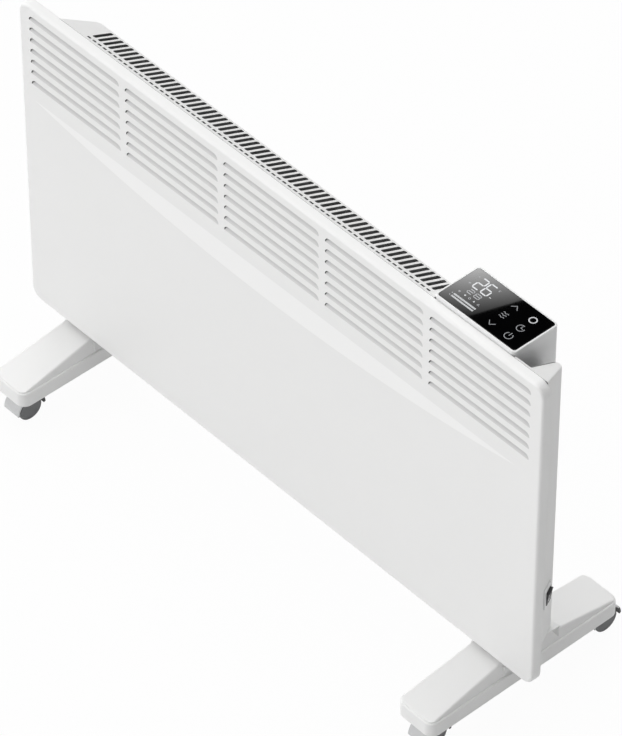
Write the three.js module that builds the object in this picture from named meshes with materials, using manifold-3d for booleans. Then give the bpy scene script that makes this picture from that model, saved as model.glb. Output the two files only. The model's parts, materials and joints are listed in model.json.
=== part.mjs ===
// A panel convector heater that stands on two castor feet.
//
// Millimetres, +Z up. The front panel faces -Y, and +X is on the right of someone who looks at it.
// Heights count from the floor. Depths count from the flat face of the front panel, towards the back,
// and the finished heater is then moved along Y until its outline is centred on the origin.

import * as THREE from 'three';
import { mergeGeometries, mergeVertices } from 'three/addons/utils/BufferGeometryUtils.js';
import Module from 'manifold-3d';

const wasm = await Module();
wasm.setup();

// ---------------------------------------------------------------- driving dimensions

const SEAT_GAP = 0.3; // between pieces that rest on, or fit into, each other
const OVERCUT = 2; // how far a cutting tool runs past the face it opens

// front panel: one sheet, folded back all round into a shallow tray
const PANEL_WIDTH = 830;
const PANEL_HEIGHT = 443;
const PANEL_BOTTOM = 88; // floor to the lower edge
const PANEL_DEPTH = 12;
const PANEL_SHEET = 1.2;
const PANEL_CORNER = 15.5;
const PANEL_EDGE = 3.5; // rounding between the face and the folded edge
const PANEL_LIP = 10; // second fold, turned inwards at the back

// air louvres, pressed inwards out of the panel sheet
const LOUVRE_COLUMNS = 5;
const LOUVRE_ROWS = 7;
const LOUVRE_MARGIN = 17.9; // panel's side to the first louvre
const LOUVRE_SPACE = 9.8; // between two columns
const LOUVRE_HEIGHT = 6.8;
const LOUVRE_PITCH = 15.45;
const LOUVRE_DROP = 18.8; // panel's top to the fold line of the first row
const LOUVRE_CORNER = 6;
const LOUVRE_TILT = 37; // degrees
const SHEAR_GAP = 0.3;

// pressed crease below the louvres: a lens-shaped facet over a slightly bowed lower face
const CREASE_DROP = 133.4; // panel's top to the straight upper line
const CREASE_LENGTH = 772;
const CREASE_SHIFT = -8; // middle of the crease, a little to the left of the panel's
const CREASE_HEIGHT = 30;
const CREASE_RISE = 2.4; // how far the lower arc stands out of the flat
const CREASE_FOOT = 8; // height at which the lower face is flat again
const CREASE_STATIONS = 14;

// rear casing: a shallow sheet box with tapered ends and a sloping top
const CASING_SHEET = 1.2;
const CASING_DEPTH = 42;
const CASING_LEFT_INSET = 55; // panel's left edge to the casing
const CASING_RIGHT_INSET = 6.5;
const CASING_LEFT_TAPER = 18;
const CASING_RIGHT_TAPER = 20.5;
const CASING_CORNER = 5;
const CASING_BOTTOM_INSET = 39; // panel's lower edge to the casing
const CASING_SLOPE = 23.3; // degrees, the top falls towards the back
const CASING_FLANGE_INSET = 1; // panel's outline to the edge of the casing's flange
const SHOULDER_RADIUS = 24; // rounding of the sloping top where it drops towards the control housing

// outlet grille in the sloping top
const GRILLE_MARGIN = 44.8; // casing's left end to the first slot
const GRILLE_PITCH = 8.57;
const GRILLE_SLOT = 4;
const GRILLE_FRONT = 24; // depths of the slots' two ends
const GRILLE_BACK = 50;
const GRILLE_TO_MODULE = 11; // last slot to the control housing
const DASH_WIDTH = 4.4;
const DASH_FRONT = 16.5;
const DASH_LENGTH = 2.3;

// inlet slots in the casing floor
const INLET_COLUMNS = 5;
const INLET_LENGTH = 84;
const INLET_WIDTH = 5;
const INLET_PITCH = 104;
const INLET_DEPTHS = [26, 41];

// back wall: two stiffening beads and two keyholes for hanging the heater on a wall
const BEAD_LENGTH = 560;
const BEAD_WIDTH = 14;
const BEAD_RISE = 1.6;
const BEAD_HEIGHTS = [165, 330];
const KEYHOLE_SPACING = 420;
const KEYHOLE_DROP = 75; // panel's top to the keyhole's round end
const KEYHOLE_RADIUS = 5;
const KEYHOLE_SLOT_RADIUS = 2.6;
const KEYHOLE_SLOT = 12;

// control housing with its glass touch panel
const GLASS_WIDTH = 114.7;
const GLASS_DEPTH = 59.2;
const GLASS_THICKNESS = 2.2;
const GLASS_CORNER = 3;
const GLASS_RIGHT_INSET = 59.5; // panel's right edge to the glass
const GLASS_FRONT = 15.2;
const GLASS_RISE = 5; // above the panel's top
const RIM_WIDTH = 1.5;
const RIM_DROP = 0.4; // rim below the face of the glass
const HOUSING_EDGE = 1;
const HOUSING_WALL = 2;
const HOUSING_LEDGE = 1.7; // how far the seat of the glass reaches under it
const HOUSING_HEIGHT = 54.6;
const HOUSING_CABLE_RADIUS = 6;
const BOARD_WIDTH = 106;
const BOARD_DEPTH = 50;
const BOARD_THICKNESS = 1.6;
const BOARD_POST_HEIGHT = 42;
const BOARD_POST_RADIUS = 3;
const BOARD_POST_INSET = 5;
const DISPLAY_BLOCK = [62, 24, 5];
const PLUG_BLOCK = [24, 9, 9];

// heating element: an extruded aluminium bar of X section with slit arms
const ELEMENT_LEFT_INSET = 34; // casing's rear left corner to the bar's end
const ELEMENT_RIGHT_INSET = 96;
const ELEMENT_RISE = 86; // casing floor to the bar's axis
const ELEMENT_STANDOFF = 22.1; // back wall to the bar's axis
const ELEMENT_ARM_DEPTH = 15;
const ELEMENT_ARM_HEIGHT = 27;
const ELEMENT_ARM_THICKNESS = 3.2;
const ELEMENT_HUB_RADIUS = 7;
const ELEMENT_SLITS = 9;
const ELEMENT_SLIT = 3;
const ELEMENT_PIN_RADIUS = 4;
const ELEMENT_PIN_LENGTH = 16;
const BRACKET_PLATE = 1.6;
const BRACKET_WIDTH = 34;
const BRACKET_HEIGHT = 40;
const BRACKET_FOOT = 16;

// small electrical pieces inside the casing
const CUTOUT_RADIUS = 8;
const CUTOUT_HEIGHT = 9;
const CUTOUT_RISE = 28; // element's upper arms to the cut-out's axis
const CUTOUT_SHIFT = 48; // to the right of the element's middle
const CUTOUT_PLATE = [30, 18, 1.6];
const SENSOR_RADIUS = 3;
const SENSOR_LENGTH = 26;
const SENSOR_INSET = 130; // casing's rear right corner to the sensor's middle
const SENSOR_STANDOFF = 19.1;
const SENSOR_BASE = [18, 8, 3];
const TERMINAL_SIZE = [42, 17, 20];
const TERMINAL_INSET = 44; // casing's rear right corner to the block's middle
const TERMINAL_RISE = 173; // casing floor to the block's middle
const TERMINAL_WELL_RADIUS = 2.6;
const TERMINAL_WELLS = 3;

// cable gland in the back wall; the cable itself isn't part of the model
const GLAND_INSET = 36; // casing's rear right corner to the gland's axis
const GLAND_RISE = 33; // casing floor to the gland's axis
const GLAND_RADIUS = 8;
const GLAND_FLANGE_RADIUS = 11;
const GLAND_FLANGE = 3;
const GLAND_NOSE = 9;
const GLAND_BORE = 4;

// rocker switch in the right-hand end of the casing
const SWITCH_RISE = 67.5; // casing floor to the switch's middle
const SWITCH_DEPTH = 35;
const SWITCH_BEZEL_WIDTH = 21;
const SWITCH_BEZEL_HEIGHT = 28;
const SWITCH_BEZEL = 1.8;
const SWITCH_BODY_WIDTH = 18.4;
const SWITCH_BODY_HEIGHT = 25.4;
const SWITCH_BODY_DEPTH = 13;
const SWITCH_WELL_WIDTH = 15.6;
const SWITCH_WELL_HEIGHT = 22.8;
const SWITCH_WELL_DEPTH = 10;
const ROCKER_TILT = 8; // degrees either way from level
const ROCKER_PIVOT_DEPTH = 4;
const ROCKER_PIN_RADIUS = 1.4;
const ROCKER_SIDE_GAP = 0.3;
const ROCKER_END_GAP = 1.1;
const ROCKER_RISE = 2;
const ROCKER_DISH = 1.3;

// feet: hollow mouldings with a ridged top, open underneath
const FOOT_INSET = 75; // panel's side edge to the foot's centre line
const FOOT_WIDTH = 57;
const FOOT_FRONT = -102;
const FOOT_LENGTH = 282;
const FOOT_CORNER = 12;
const FOOT_WALL = 2.5;
const FOOT_CLEARANCE = 7; // panel's lower edge to the foot's crest
const FOOT_SKIRT_BOTTOM = 43;
const FOOT_LEDGE_HEIGHT = 62;
const FOOT_LEDGE = 2;
const FOOT_SKIRT_ROUND = 0.8;
const RIDGE_END_HEIGHT = 64.2;
const RIDGE_END_RUN = 4; // how fast the top drops to the ledge at the two ends
const RIDGE_CREST_FRONT = 4;
const RIDGE_CREST_BACK = 62;
const RIDGE_END_HALF_WIDTH = 26.2;
const RIDGE_CREST_HALF_WIDTH = 22.7;
const RIDGE_ROUND = 2.5;
const FOOT_RIB = 2;
const FOOT_RIB_HEIGHT = 48;
const FOOT_RIB_PLACES = [-50, 8, 56, 122];
const BOSS_RADIUS = 9.5;
const BOSS_RECESS = 2;

// foot brackets: folded steel channels between the feet and the casing floor
const STAND_SHEET = 1.5;
const STAND_HALF_WIDTH = 54;
const STAND_LEG_HALF_WIDTH = 19;
const STAND_FRONT = 16;
const STAND_BACK = 61;
const STAND_FLANGE = 17;
const STAND_TOE = 12;
const STAND_HOLE_RADIUS = 3;
const STAND_HOLE_INSET = 9;

// castors: a forked hood on a swivelling stem, with a wheel on each side of its web
const STEM_INSET = 13; // foot's end to the swivel axis
const CASTOR_TRAIL = 12;
const WHEEL_RADIUS = 16;
const WHEEL_WIDTH = 8;
const WHEEL_FACETS = 16;
const WHEEL_ROUND = 1;
const WHEEL_RIM = 3;
const WHEEL_DISH = 1.1;
const WHEEL_TO_WEB = 0.6;
const WHEEL_TO_HOOD = 2.5;
const HOOD_WALL = 2;
const HOOD_WIDTH = 26;
const HOOD_LIP = 0.5; // how far the lips reach below the axle
const HOOD_SEGMENTS = 5;
const WEB_WIDTH = 5;
const WEB_HUB_RADIUS = 6.5;
const AXLE_RADIUS = 2;
const AXLE_INSET = 0.6; // axle's end inside the wheel's outer face
const COLLAR_RADIUS = 7.5;
const COLLAR_HEIGHT = 10.5;
const COLLAR_TO_SOCKET = 0.5;
const STEM_RADIUS = 4;
const STEM_COLLAR_DEPTH = 9;
const STEM_SOCKET_DEPTH = 15;
const SOCKET_WALL = 2;
const SOCKET_FLANGE = 1.2;
const SOCKET_FLANGE_RADIUS = 8.5;
const SOCKET_TOP = 1; // closed end above the stem's tip

// ---------------------------------------------------------------- sizes worked out from them

const HALF_WIDTH = PANEL_WIDTH / 2;
const PANEL_TOP = PANEL_BOTTOM + PANEL_HEIGHT;
const PANEL_MIDDLE = PANEL_BOTTOM + PANEL_HEIGHT / 2;

const CASING_LEFT = -HALF_WIDTH + CASING_LEFT_INSET;
const CASING_RIGHT = HALF_WIDTH - CASING_RIGHT_INSET;
const CASING_FRONT = PANEL_DEPTH + SEAT_GAP;
const CASING_BACK = CASING_FRONT + CASING_DEPTH;
const CASING_FLOOR = PANEL_BOTTOM + CASING_BOTTOM_INSET;
const CASING_FALL = Math.tan(THREE.MathUtils.degToRad(CASING_SLOPE));
const BACK_WALL_INSIDE = CASING_BACK - CASING_SHEET;
const CASING_REAR_LEFT = CASING_LEFT + CASING_LEFT_TAPER;
const CASING_REAR_RIGHT = CASING_RIGHT - CASING_RIGHT_TAPER;

const ELEMENT_LEFT = CASING_REAR_LEFT + ELEMENT_LEFT_INSET;
const ELEMENT_RIGHT = CASING_REAR_RIGHT - ELEMENT_RIGHT_INSET;
const ELEMENT_LENGTH = ELEMENT_RIGHT - ELEMENT_LEFT;
const ELEMENT_HEIGHT = CASING_FLOOR + ELEMENT_RISE;
const ELEMENT_CENTRE_DEPTH = BACK_WALL_INSIDE - ELEMENT_STANDOFF;
const CUTOUT_PLACE = [
  (ELEMENT_LEFT + ELEMENT_RIGHT) / 2 + CUTOUT_SHIFT,
  ELEMENT_HEIGHT + ELEMENT_ARM_HEIGHT + CUTOUT_RISE,
];
const SENSOR_PLACE = [CASING_REAR_RIGHT - SENSOR_INSET, BACK_WALL_INSIDE - SENSOR_STANDOFF];
const TERMINAL_PLACE = [CASING_REAR_RIGHT - TERMINAL_INSET, CASING_FLOOR + TERMINAL_RISE];
const GLAND_PLACE = [CASING_REAR_RIGHT - GLAND_INSET, CASING_FLOOR + GLAND_RISE];
const SWITCH_HEIGHT = CASING_FLOOR + SWITCH_RISE;

const GLASS_TOP = PANEL_TOP + GLASS_RISE;
const GLASS_X = HALF_WIDTH - GLASS_RIGHT_INSET - GLASS_WIDTH / 2;
const GLASS_Y = GLASS_FRONT + GLASS_DEPTH / 2;
const HOUSING_WIDTH = GLASS_WIDTH + 2 * (RIM_WIDTH + HOUSING_EDGE);
const HOUSING_DEPTH = GLASS_DEPTH + 2 * (RIM_WIDTH + HOUSING_EDGE);
const HOUSING_TOP = GLASS_TOP - RIM_DROP;
const HOUSING_BOTTOM = HOUSING_TOP - HOUSING_HEIGHT;
const GLASS_SEAT = GLASS_TOP - GLASS_THICKNESS - SEAT_GAP;

const FOOT_X = HALF_WIDTH - FOOT_INSET;
const FOOT_BACK = FOOT_FRONT + FOOT_LENGTH;
const FOOT_MIDDLE = FOOT_FRONT + FOOT_LENGTH / 2;
const FOOT_CREST = PANEL_BOTTOM - FOOT_CLEARANCE;

const STEM_DEPTHS = { front: FOOT_FRONT + STEM_INSET, back: FOOT_BACK - STEM_INSET };
const HOOD_RADIUS = WHEEL_RADIUS + WHEEL_TO_HOOD + HOOD_WALL;
const SOCKET_BOTTOM = FOOT_SKIRT_BOTTOM + BOSS_RECESS - SEAT_GAP - SOCKET_FLANGE;
const COLLAR_TOP = SOCKET_BOTTOM - COLLAR_TO_SOCKET;
const STEM_TOP = COLLAR_TOP + STEM_SOCKET_DEPTH;
const SOCKET_RADIUS = STEM_RADIUS + SEAT_GAP + SOCKET_WALL;
const SOCKET_HEIGHT = STEM_TOP + SEAT_GAP + SOCKET_TOP;

const OUTLINE_BACK = Math.max(STEM_DEPTHS.back + CASTOR_TRAIL + HOOD_RADIUS, FOOT_BACK);
const OUTLINE_CENTRE = (FOOT_FRONT + OUTLINE_BACK) / 2;

// ---------------------------------------------------------------- solids

/** Joins and cuts need closed meshes whose corners are shared: only positions are kept. */
function positionsOnly(geometry) {
  const plain = geometry.index ? geometry.toNonIndexed() : geometry.clone();
  plain.deleteAttribute('normal');
  plain.deleteAttribute('uv');
  plain.clearGroups();
  return plain;
}

function solid(...geometries) {
  const joined = mergeVertices(mergeGeometries(geometries.map(positionsOnly)), 1e-5);
  const vertProperties = new Float32Array(joined.attributes.position.array);
  const triVerts = new Uint32Array(joined.index.array);
  return new wasm.Manifold(new wasm.Mesh({ numProp: 3, vertProperties, triVerts }));
}

function geometryOf(manifold) {
  const mesh = manifold.getMesh();
  const geometry = new THREE.BufferGeometry();
  geometry.setAttribute('position', new THREE.BufferAttribute(mesh.vertProperties, 3));
  geometry.setIndex(new THREE.BufferAttribute(mesh.triVerts, 1));
  geometry.computeVertexNormals();
  return geometry;
}

function piece(name, geometry, material) {
  const mesh = new THREE.Mesh(geometry, material);
  mesh.name = name;
  return mesh;
}

// How a flat drawing lies in space: drawn right, drawn up, and the way it is extruded.
const X_AXIS = new THREE.Vector3(1, 0, 0);
const Y_AXIS = new THREE.Vector3(0, 1, 0);
const Z_AXIS = new THREE.Vector3(0, 0, 1);
const ALONG_X = new THREE.Matrix4().makeBasis(Y_AXIS, Z_AXIS, X_AXIS);
const ALONG_Z = new THREE.Matrix4();
const ALONG_MINUS_Y = new THREE.Matrix4().makeBasis(X_AXIS, Z_AXIS, Y_AXIS.clone().negate());

/** A drawing in (x, y), extruded from one height to another. */
function uprightPrism(shape, low, high, curveSegments = 2) {
  const options = { depth: high - low, bevelEnabled: false, curveSegments };
  return new THREE.ExtrudeGeometry(shape, options).translate(0, 0, low);
}

/** A drawing in (x, z), extruded from one depth to another. */
function deepPrism(shape, front, back, curveSegments = 2) {
  const options = { depth: back - front, bevelEnabled: false, curveSegments };
  return new THREE.ExtrudeGeometry(shape, options).applyMatrix4(ALONG_MINUS_Y).translate(0, back, 0);
}

/** A drawing in (y, z), extruded from left to right. */
function sidePrism(shape, left, right, curveSegments = 2) {
  const options = { depth: right - left, bevelEnabled: false, curveSegments };
  return new THREE.ExtrudeGeometry(shape, options).applyMatrix4(ALONG_X).translate(left, 0, 0);
}

function block(x0, x1, y0, y1, z0, z1) {
  const box = new THREE.BoxGeometry(x1 - x0, y1 - y0, z1 - z0);
  return box.translate((x0 + x1) / 2, (y0 + y1) / 2, (z0 + z1) / 2);
}

/** A block on a seat: centred on (x, y), rising from a height. */
function blockOn([width, depth, height], x, y, low) {
  return block(x - width / 2, x + width / 2, y - depth / 2, y + depth / 2, low, low + height);
}

/** A round bar that stands upright. */
function uprightBar(radius, x, y, low, high, facets = 12) {
  const bar = new THREE.CylinderGeometry(radius, radius, high - low, facets);
  return bar.rotateX(Math.PI / 2).translate(x, y, (low + high) / 2);
}

/** A round bar that lies from front to back. */
function deepBar(radius, x, z, front, back, facets = 12) {
  return new THREE.CylinderGeometry(radius, radius, back - front, facets).translate(x, (front + back) / 2, z);
}

/** A round bar that lies from side to side. */
function sideBar(radius, y, z, left, right, facets = 12) {
  const bar = new THREE.CylinderGeometry(radius, radius, right - left, facets);
  return bar.rotateZ(Math.PI / 2).translate((left + right) / 2, y, z);
}

function polygon(points) {
  return new THREE.Shape(points.map(([u, v]) => new THREE.Vector2(u, v)));
}

function roundedRectangle(width, height, radius, u = 0, v = 0) {
  const shape = new THREE.Shape();
  const [right, top] = [width / 2 - radius, height / 2 - radius];
  shape.absarc(u + right, v - top, radius, -Math.PI / 2, 0, false);
  shape.absarc(u + right, v + top, radius, 0, Math.PI / 2, false);
  shape.absarc(u - right, v + top, radius, Math.PI / 2, Math.PI, false);
  shape.absarc(u - right, v - top, radius, Math.PI, 1.5 * Math.PI, false);
  return shape;
}

/** The corners of a drawing, without the repeated last one. */
function outlineOf(shape, curveSegments = 2) {
  const points = shape.extractPoints(curveSegments).shape;
  const last = points[points.length - 1];
  return last.distanceTo(points[0]) < 1e-6 ? points.slice(0, -1) : points;
}

/** A closed skin through outlines of equal length, drawn one above the other, with flat ends. */
function loft(sections, placing = ALONG_Z) {
  const count = sections[0].outline.length;
  const positions = sections.flatMap(({ outline, at }) => outline.flatMap((p) => [p.x, p.y, at]));
  const faces = THREE.ShapeUtils.triangulateShape(sections[0].outline, []);
  const top = (sections.length - 1) * count;
  const index = [];
  for (const [a, b, c] of faces) index.push(a, c, b);
  for (const [a, b, c] of THREE.ShapeUtils.triangulateShape(sections.at(-1).outline, [])) {
    index.push(top + a, top + b, top + c);
  }
  for (let level = 0; level < sections.length - 1; level += 1) {
    for (let i = 0; i < count; i += 1) {
      const [a, b] = [level * count + i, level * count + ((i + 1) % count)];
      index.push(a, b, b + count, a, b + count, a + count);
    }
  }
  const geometry = new THREE.BufferGeometry();
  geometry.setAttribute('position', new THREE.Float32BufferAttribute(positions, 3));
  geometry.setIndex(index);
  return geometry.applyMatrix4(placing);
}

// ---------------------------------------------------------------- front panel

/** The panel's outline, in (x, z), shrunk by an inset. */
function panelOutline(inset) {
  const [width, height] = [PANEL_WIDTH - 2 * inset, PANEL_HEIGHT - 2 * inset];
  const radius = Math.max(PANEL_CORNER - inset, PANEL_SHEET);
  return roundedRectangle(width, height, radius, 0, PANEL_MIDDLE);
}

/** A dished block with the panel's outline: its front edge is rounded, its back is square. */
function dishedBlock(inset, radius, front, back, steps = 2) {
  const sections = [{ outline: outlineOf(panelOutline(inset)), at: -back }];
  for (let step = 0; step <= steps; step += 1) {
    const angle = (step / steps) * (Math.PI / 2);
    const outline = outlineOf(panelOutline(inset + radius * (1 - Math.cos(angle))));
    sections.push({ outline, at: -(front + radius * (1 - Math.sin(angle))) });
  }
  return loft(sections, ALONG_MINUS_Y);
}

/** How much of the crease's full depth is left this far from its middle: none at the tips. */
function creaseShare(distance) {
  return 1 - (distance / (CREASE_LENGTH / 2)) ** 2;
}

/** The pressed crease as a solid that stands out of the panel's face and roots inside its sheet. */
function creaseBody(shift) {
  const upper = PANEL_TOP - CREASE_DROP;
  const root = PANEL_SHEET / 2;
  const reach = CREASE_LENGTH / 2 + 4;
  const sections = [];
  for (let i = 0; i <= CREASE_STATIONS; i += 1) {
    const distance = reach * (2 * (i / CREASE_STATIONS) - 1);
    const share = creaseShare(distance);
    const lower = upper - Math.max(CREASE_HEIGHT * share, 1);
    const outline = [
      [root, PANEL_BOTTOM + CREASE_FOOT],
      [root, upper],
      [0.01, upper],
      [-CREASE_RISE * share, lower],
      [0.01, PANEL_BOTTOM + CREASE_FOOT],
    ].map(([y, z]) => new THREE.Vector2(y + shift, z));
    sections.push({ outline, at: CREASE_SHIFT + distance });
  }
  return loft(sections, ALONG_X);
}

const LOUVRE_LENGTH =
  (PANEL_WIDTH - 2 * LOUVRE_MARGIN - (LOUVRE_COLUMNS - 1) * LOUVRE_SPACE) / LOUVRE_COLUMNS;

/** A louvre's drawing: straight along its fold, with rounded upper corners. */
function louvreShape(gap) {
  const half = LOUVRE_LENGTH / 2 - gap;
  const top = LOUVRE_HEIGHT - gap;
  const radius = LOUVRE_CORNER - gap;
  const shape = new THREE.Shape();
  shape.moveTo(-half, 0);
  shape.lineTo(half, 0);
  shape.absarc(half - radius, top - radius, radius, 0, Math.PI / 2, false);
  shape.absarc(radius - half, top - radius, radius, Math.PI / 2, Math.PI, false);
  return shape;
}

function atEachLouvre(make) {
  const copies = [];
  for (let row = 0; row < LOUVRE_ROWS; row += 1) {
    for (let column = 0; column < LOUVRE_COLUMNS; column += 1) {
      const x = (column - (LOUVRE_COLUMNS - 1) / 2) * (LOUVRE_LENGTH + LOUVRE_SPACE);
      const z = PANEL_TOP - LOUVRE_DROP - row * LOUVRE_PITCH;
      copies.push(make().translate(x, 0, z));
    }
  }
  return copies;
}

function louvreFlap() {
  const flap = deepPrism(louvreShape(SHEAR_GAP), 0, PANEL_SHEET, 1);
  return flap.rotateX(-THREE.MathUtils.degToRad(LOUVRE_TILT));
}

function frontPanel(material) {
  const outside = solid(dishedBlock(0, PANEL_EDGE, 0, PANEL_DEPTH)).add(solid(creaseBody(0)));
  const edgeInside = Math.max(PANEL_EDGE - PANEL_SHEET, 0.4);
  const trayInside = dishedBlock(PANEL_SHEET, edgeInside, PANEL_SHEET, PANEL_DEPTH - PANEL_SHEET);
  const mouth = deepPrism(panelOutline(PANEL_LIP), PANEL_DEPTH / 2, PANEL_DEPTH + OVERCUT);
  const slots = solid(...atEachLouvre(() => deepPrism(louvreShape(0), -OVERCUT, PANEL_SHEET + 1, 1)));
  const flaps = solid(...atEachLouvre(louvreFlap));
  const shell = outside
    .subtract(solid(trayInside))
    .subtract(solid(creaseBody(PANEL_SHEET)))
    .subtract(solid(mouth));
  return piece('front_panel', geometryOf(shell.subtract(slots).add(flaps)), material);
}

// ---------------------------------------------------------------- rear casing

/** The casing's two end walls lean inwards towards the back: their x at a depth, on the outside. */
function casingLeftAt(depth) {
  return CASING_LEFT + (CASING_LEFT_TAPER * (depth - CASING_FRONT)) / CASING_DEPTH;
}

function casingRightAt(depth) {
  return CASING_RIGHT - (CASING_RIGHT_TAPER * (depth - CASING_FRONT)) / CASING_DEPTH;
}

/** Height of the casing's top face at a depth. */
function casingTopAt(depth) {
  return PANEL_TOP - CASING_FALL * (depth - CASING_FRONT);
}

/** The casing's plan, in (x, y), shrunk by an inset and with rounded rear corners. */
function casingPlan(inset, front) {
  const back = CASING_BACK - inset;
  const leftShift = inset * Math.hypot(1, CASING_LEFT_TAPER / CASING_DEPTH);
  const rightShift = inset * Math.hypot(1, CASING_RIGHT_TAPER / CASING_DEPTH);
  const radius = CASING_CORNER - inset;
  const shape = new THREE.Shape();
  shape.moveTo(casingLeftAt(front) + leftShift, front);
  shape.lineTo(casingRightAt(front) - rightShift, front);
  shape.lineTo(casingRightAt(back - radius) - rightShift, back - radius);
  const right = casingRightAt(back) - rightShift;
  shape.quadraticCurveTo(right, back, right - radius, back);
  const left = casingLeftAt(back) + leftShift;
  shape.lineTo(left + radius, back);
  shape.quadraticCurveTo(left, back, casingLeftAt(back - radius) + leftShift, back - radius);
  return shape;
}

/** The casing's profile seen from its end, in (y, z), shrunk by an inset. */
function casingProfile(inset, front, back) {
  const fall = inset / Math.cos(THREE.MathUtils.degToRad(CASING_SLOPE));
  return polygon([
    [front, CASING_FLOOR + inset],
    [back, CASING_FLOOR + inset],
    [back, casingTopAt(back) - fall],
    [front, casingTopAt(front) - fall],
  ]);
}

/** Removes the sloping top beside the control housing, down to a rounded shoulder, shrunk by an inset. */
function shoulderCutter(inset) {
  const [start, radius] = [CASING_REAR_RIGHT, SHOULDER_RADIUS];
  const left = GLASS_X;
  const shape = new THREE.Shape();
  shape.moveTo(left, -radius - inset);
  shape.lineTo(start - radius + inset, -radius - inset);
  shape.absarc(start, -radius, radius - inset, Math.PI, Math.PI / 2, true);
  shape.lineTo(start, CASING_DEPTH);
  shape.lineTo(left, CASING_DEPTH);
  const cutter = deepPrism(shape, -CASING_DEPTH, 2 * CASING_DEPTH, 4);
  cutter.rotateX(-THREE.MathUtils.degToRad(CASING_SLOPE));
  return cutter.translate(0, CASING_FRONT, PANEL_TOP);
}

function casingBlock(inset, front, back) {
  const plan = uprightPrism(casingPlan(inset, front), PANEL_BOTTOM, PANEL_TOP + OVERCUT);
  const profile = sidePrism(casingProfile(inset, front, back), -HALF_WIDTH, HALF_WIDTH);
  return solid(plan).intersect(solid(profile)).subtract(solid(shoulderCutter(inset)));
}

/** The flange: a sheet with the panel's outline that closes the tray and rests against its lip. */
function casingFlange() {
  return deepPrism(panelOutline(CASING_FLANGE_INSET), CASING_FRONT, CASING_FRONT + CASING_SHEET);
}

/** Outlet slots and, in front of each, a short dash; the row stops short of the control housing. */
function grilleCutters() {
  const first = CASING_LEFT + GRILLE_MARGIN;
  const last = GLASS_X - HOUSING_WIDTH / 2 - GRILLE_TO_MODULE;
  const low = casingTopAt(GRILLE_BACK) - 3 * CASING_SHEET;
  const cutters = [];
  for (let x = first; x <= last; x += GRILLE_PITCH) {
    const [slot, dash] = [GRILLE_SLOT / 2, DASH_WIDTH / 2];
    const dashLow = casingTopAt(DASH_FRONT + DASH_LENGTH) - 2 * CASING_SHEET;
    cutters.push(block(x - slot, x + slot, GRILLE_FRONT, GRILLE_BACK, low, PANEL_TOP));
    cutters.push(block(x - dash, x + dash, DASH_FRONT, DASH_FRONT + DASH_LENGTH, dashLow, PANEL_TOP));
  }
  return cutters;
}

function inletCutters() {
  const cutters = [];
  for (const depth of INLET_DEPTHS) {
    for (let column = 0; column < INLET_COLUMNS; column += 1) {
      const x = (column - (INLET_COLUMNS - 1) / 2) * INLET_PITCH;
      const shape = roundedRectangle(INLET_LENGTH, INLET_WIDTH, INLET_WIDTH * 0.49, x, depth);
      cutters.push(uprightPrism(shape, CASING_FLOOR - OVERCUT, CASING_FLOOR + 2 * CASING_SHEET, 1));
    }
  }
  return cutters;
}

/** A stiffening bead: a long pressed rib on the outside of the back wall. */
function bead(height, shift) {
  const section = (inset) => outlineOf(
    roundedRectangle(BEAD_LENGTH - 2 * inset, BEAD_WIDTH - 2 * inset, BEAD_WIDTH * 0.48 - inset, 0, height),
  );
  const foot = CASING_BACK - CASING_SHEET / 2 + shift;
  const top = CASING_BACK + BEAD_RISE + shift;
  return loft([{ outline: section(0), at: -foot }, { outline: section(3), at: -top }].reverse(), ALONG_MINUS_Y);
}

function keyhole(x) {
  const z = PANEL_TOP - KEYHOLE_DROP;
  const [front, back] = [BACK_WALL_INSIDE - OVERCUT, CASING_BACK + OVERCUT];
  const slot = roundedRectangle(
    2 * KEYHOLE_SLOT_RADIUS,
    KEYHOLE_SLOT + 2 * KEYHOLE_SLOT_RADIUS,
    KEYHOLE_SLOT_RADIUS * 0.98,
    x,
    z + KEYHOLE_SLOT / 2,
  );
  return solid(deepBar(KEYHOLE_RADIUS, x, z, front, back)).add(solid(deepPrism(slot, front, back)));
}

/** The corner of the casing that the control housing drops into. */
function housingNotch() {
  const side = HOUSING_WIDTH / 2 + SEAT_GAP;
  const low = HOUSING_BOTTOM - SEAT_GAP;
  return block(GLASS_X - side, GLASS_X + side, PANEL_DEPTH, CASING_BACK + OVERCUT, low, PANEL_TOP + OVERCUT);
}

function rearCasing(material) {
  const shell = casingBlock(0, CASING_FRONT, CASING_BACK)
    .add(solid(casingFlange()))
    .subtract(casingBlock(CASING_SHEET, CASING_FRONT - OVERCUT, BACK_WALL_INSIDE))
    .add(solid(...BEAD_HEIGHTS.map((z) => bead(z + PANEL_BOTTOM, 0))))
    .subtract(solid(...BEAD_HEIGHTS.map((z) => bead(z + PANEL_BOTTOM, -CASING_SHEET))));
  const openings = solid(...inletCutters()).add(solid(...grilleCutters()));
  const cut = shell
    .subtract(openings)
    .subtract(solid(housingNotch()))
    .subtract(keyhole(-KEYHOLE_SPACING / 2))
    .subtract(keyhole(KEYHOLE_SPACING / 2))
    .subtract(solid(deepBar(GLAND_RADIUS + SEAT_GAP, ...GLAND_PLACE, BACK_WALL_INSIDE - 1, CASING_BACK + 1)))
    .subtract(solid(switchOpening()));
  return piece('rear_casing', geometryOf(cut), material);
}

// ---------------------------------------------------------------- control housing

function housingOutline(inset) {
  const radius = Math.max(GLASS_CORNER + RIM_WIDTH + HOUSING_EDGE - inset, 0.5);
  return outlineOf(
    roundedRectangle(HOUSING_WIDTH - 2 * inset, HOUSING_DEPTH - 2 * inset, radius, GLASS_X, GLASS_Y),
  );
}

function housingPrism(inset, low, high) {
  return loft([{ outline: housingOutline(inset), at: low }, { outline: housingOutline(inset), at: high }]);
}

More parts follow.
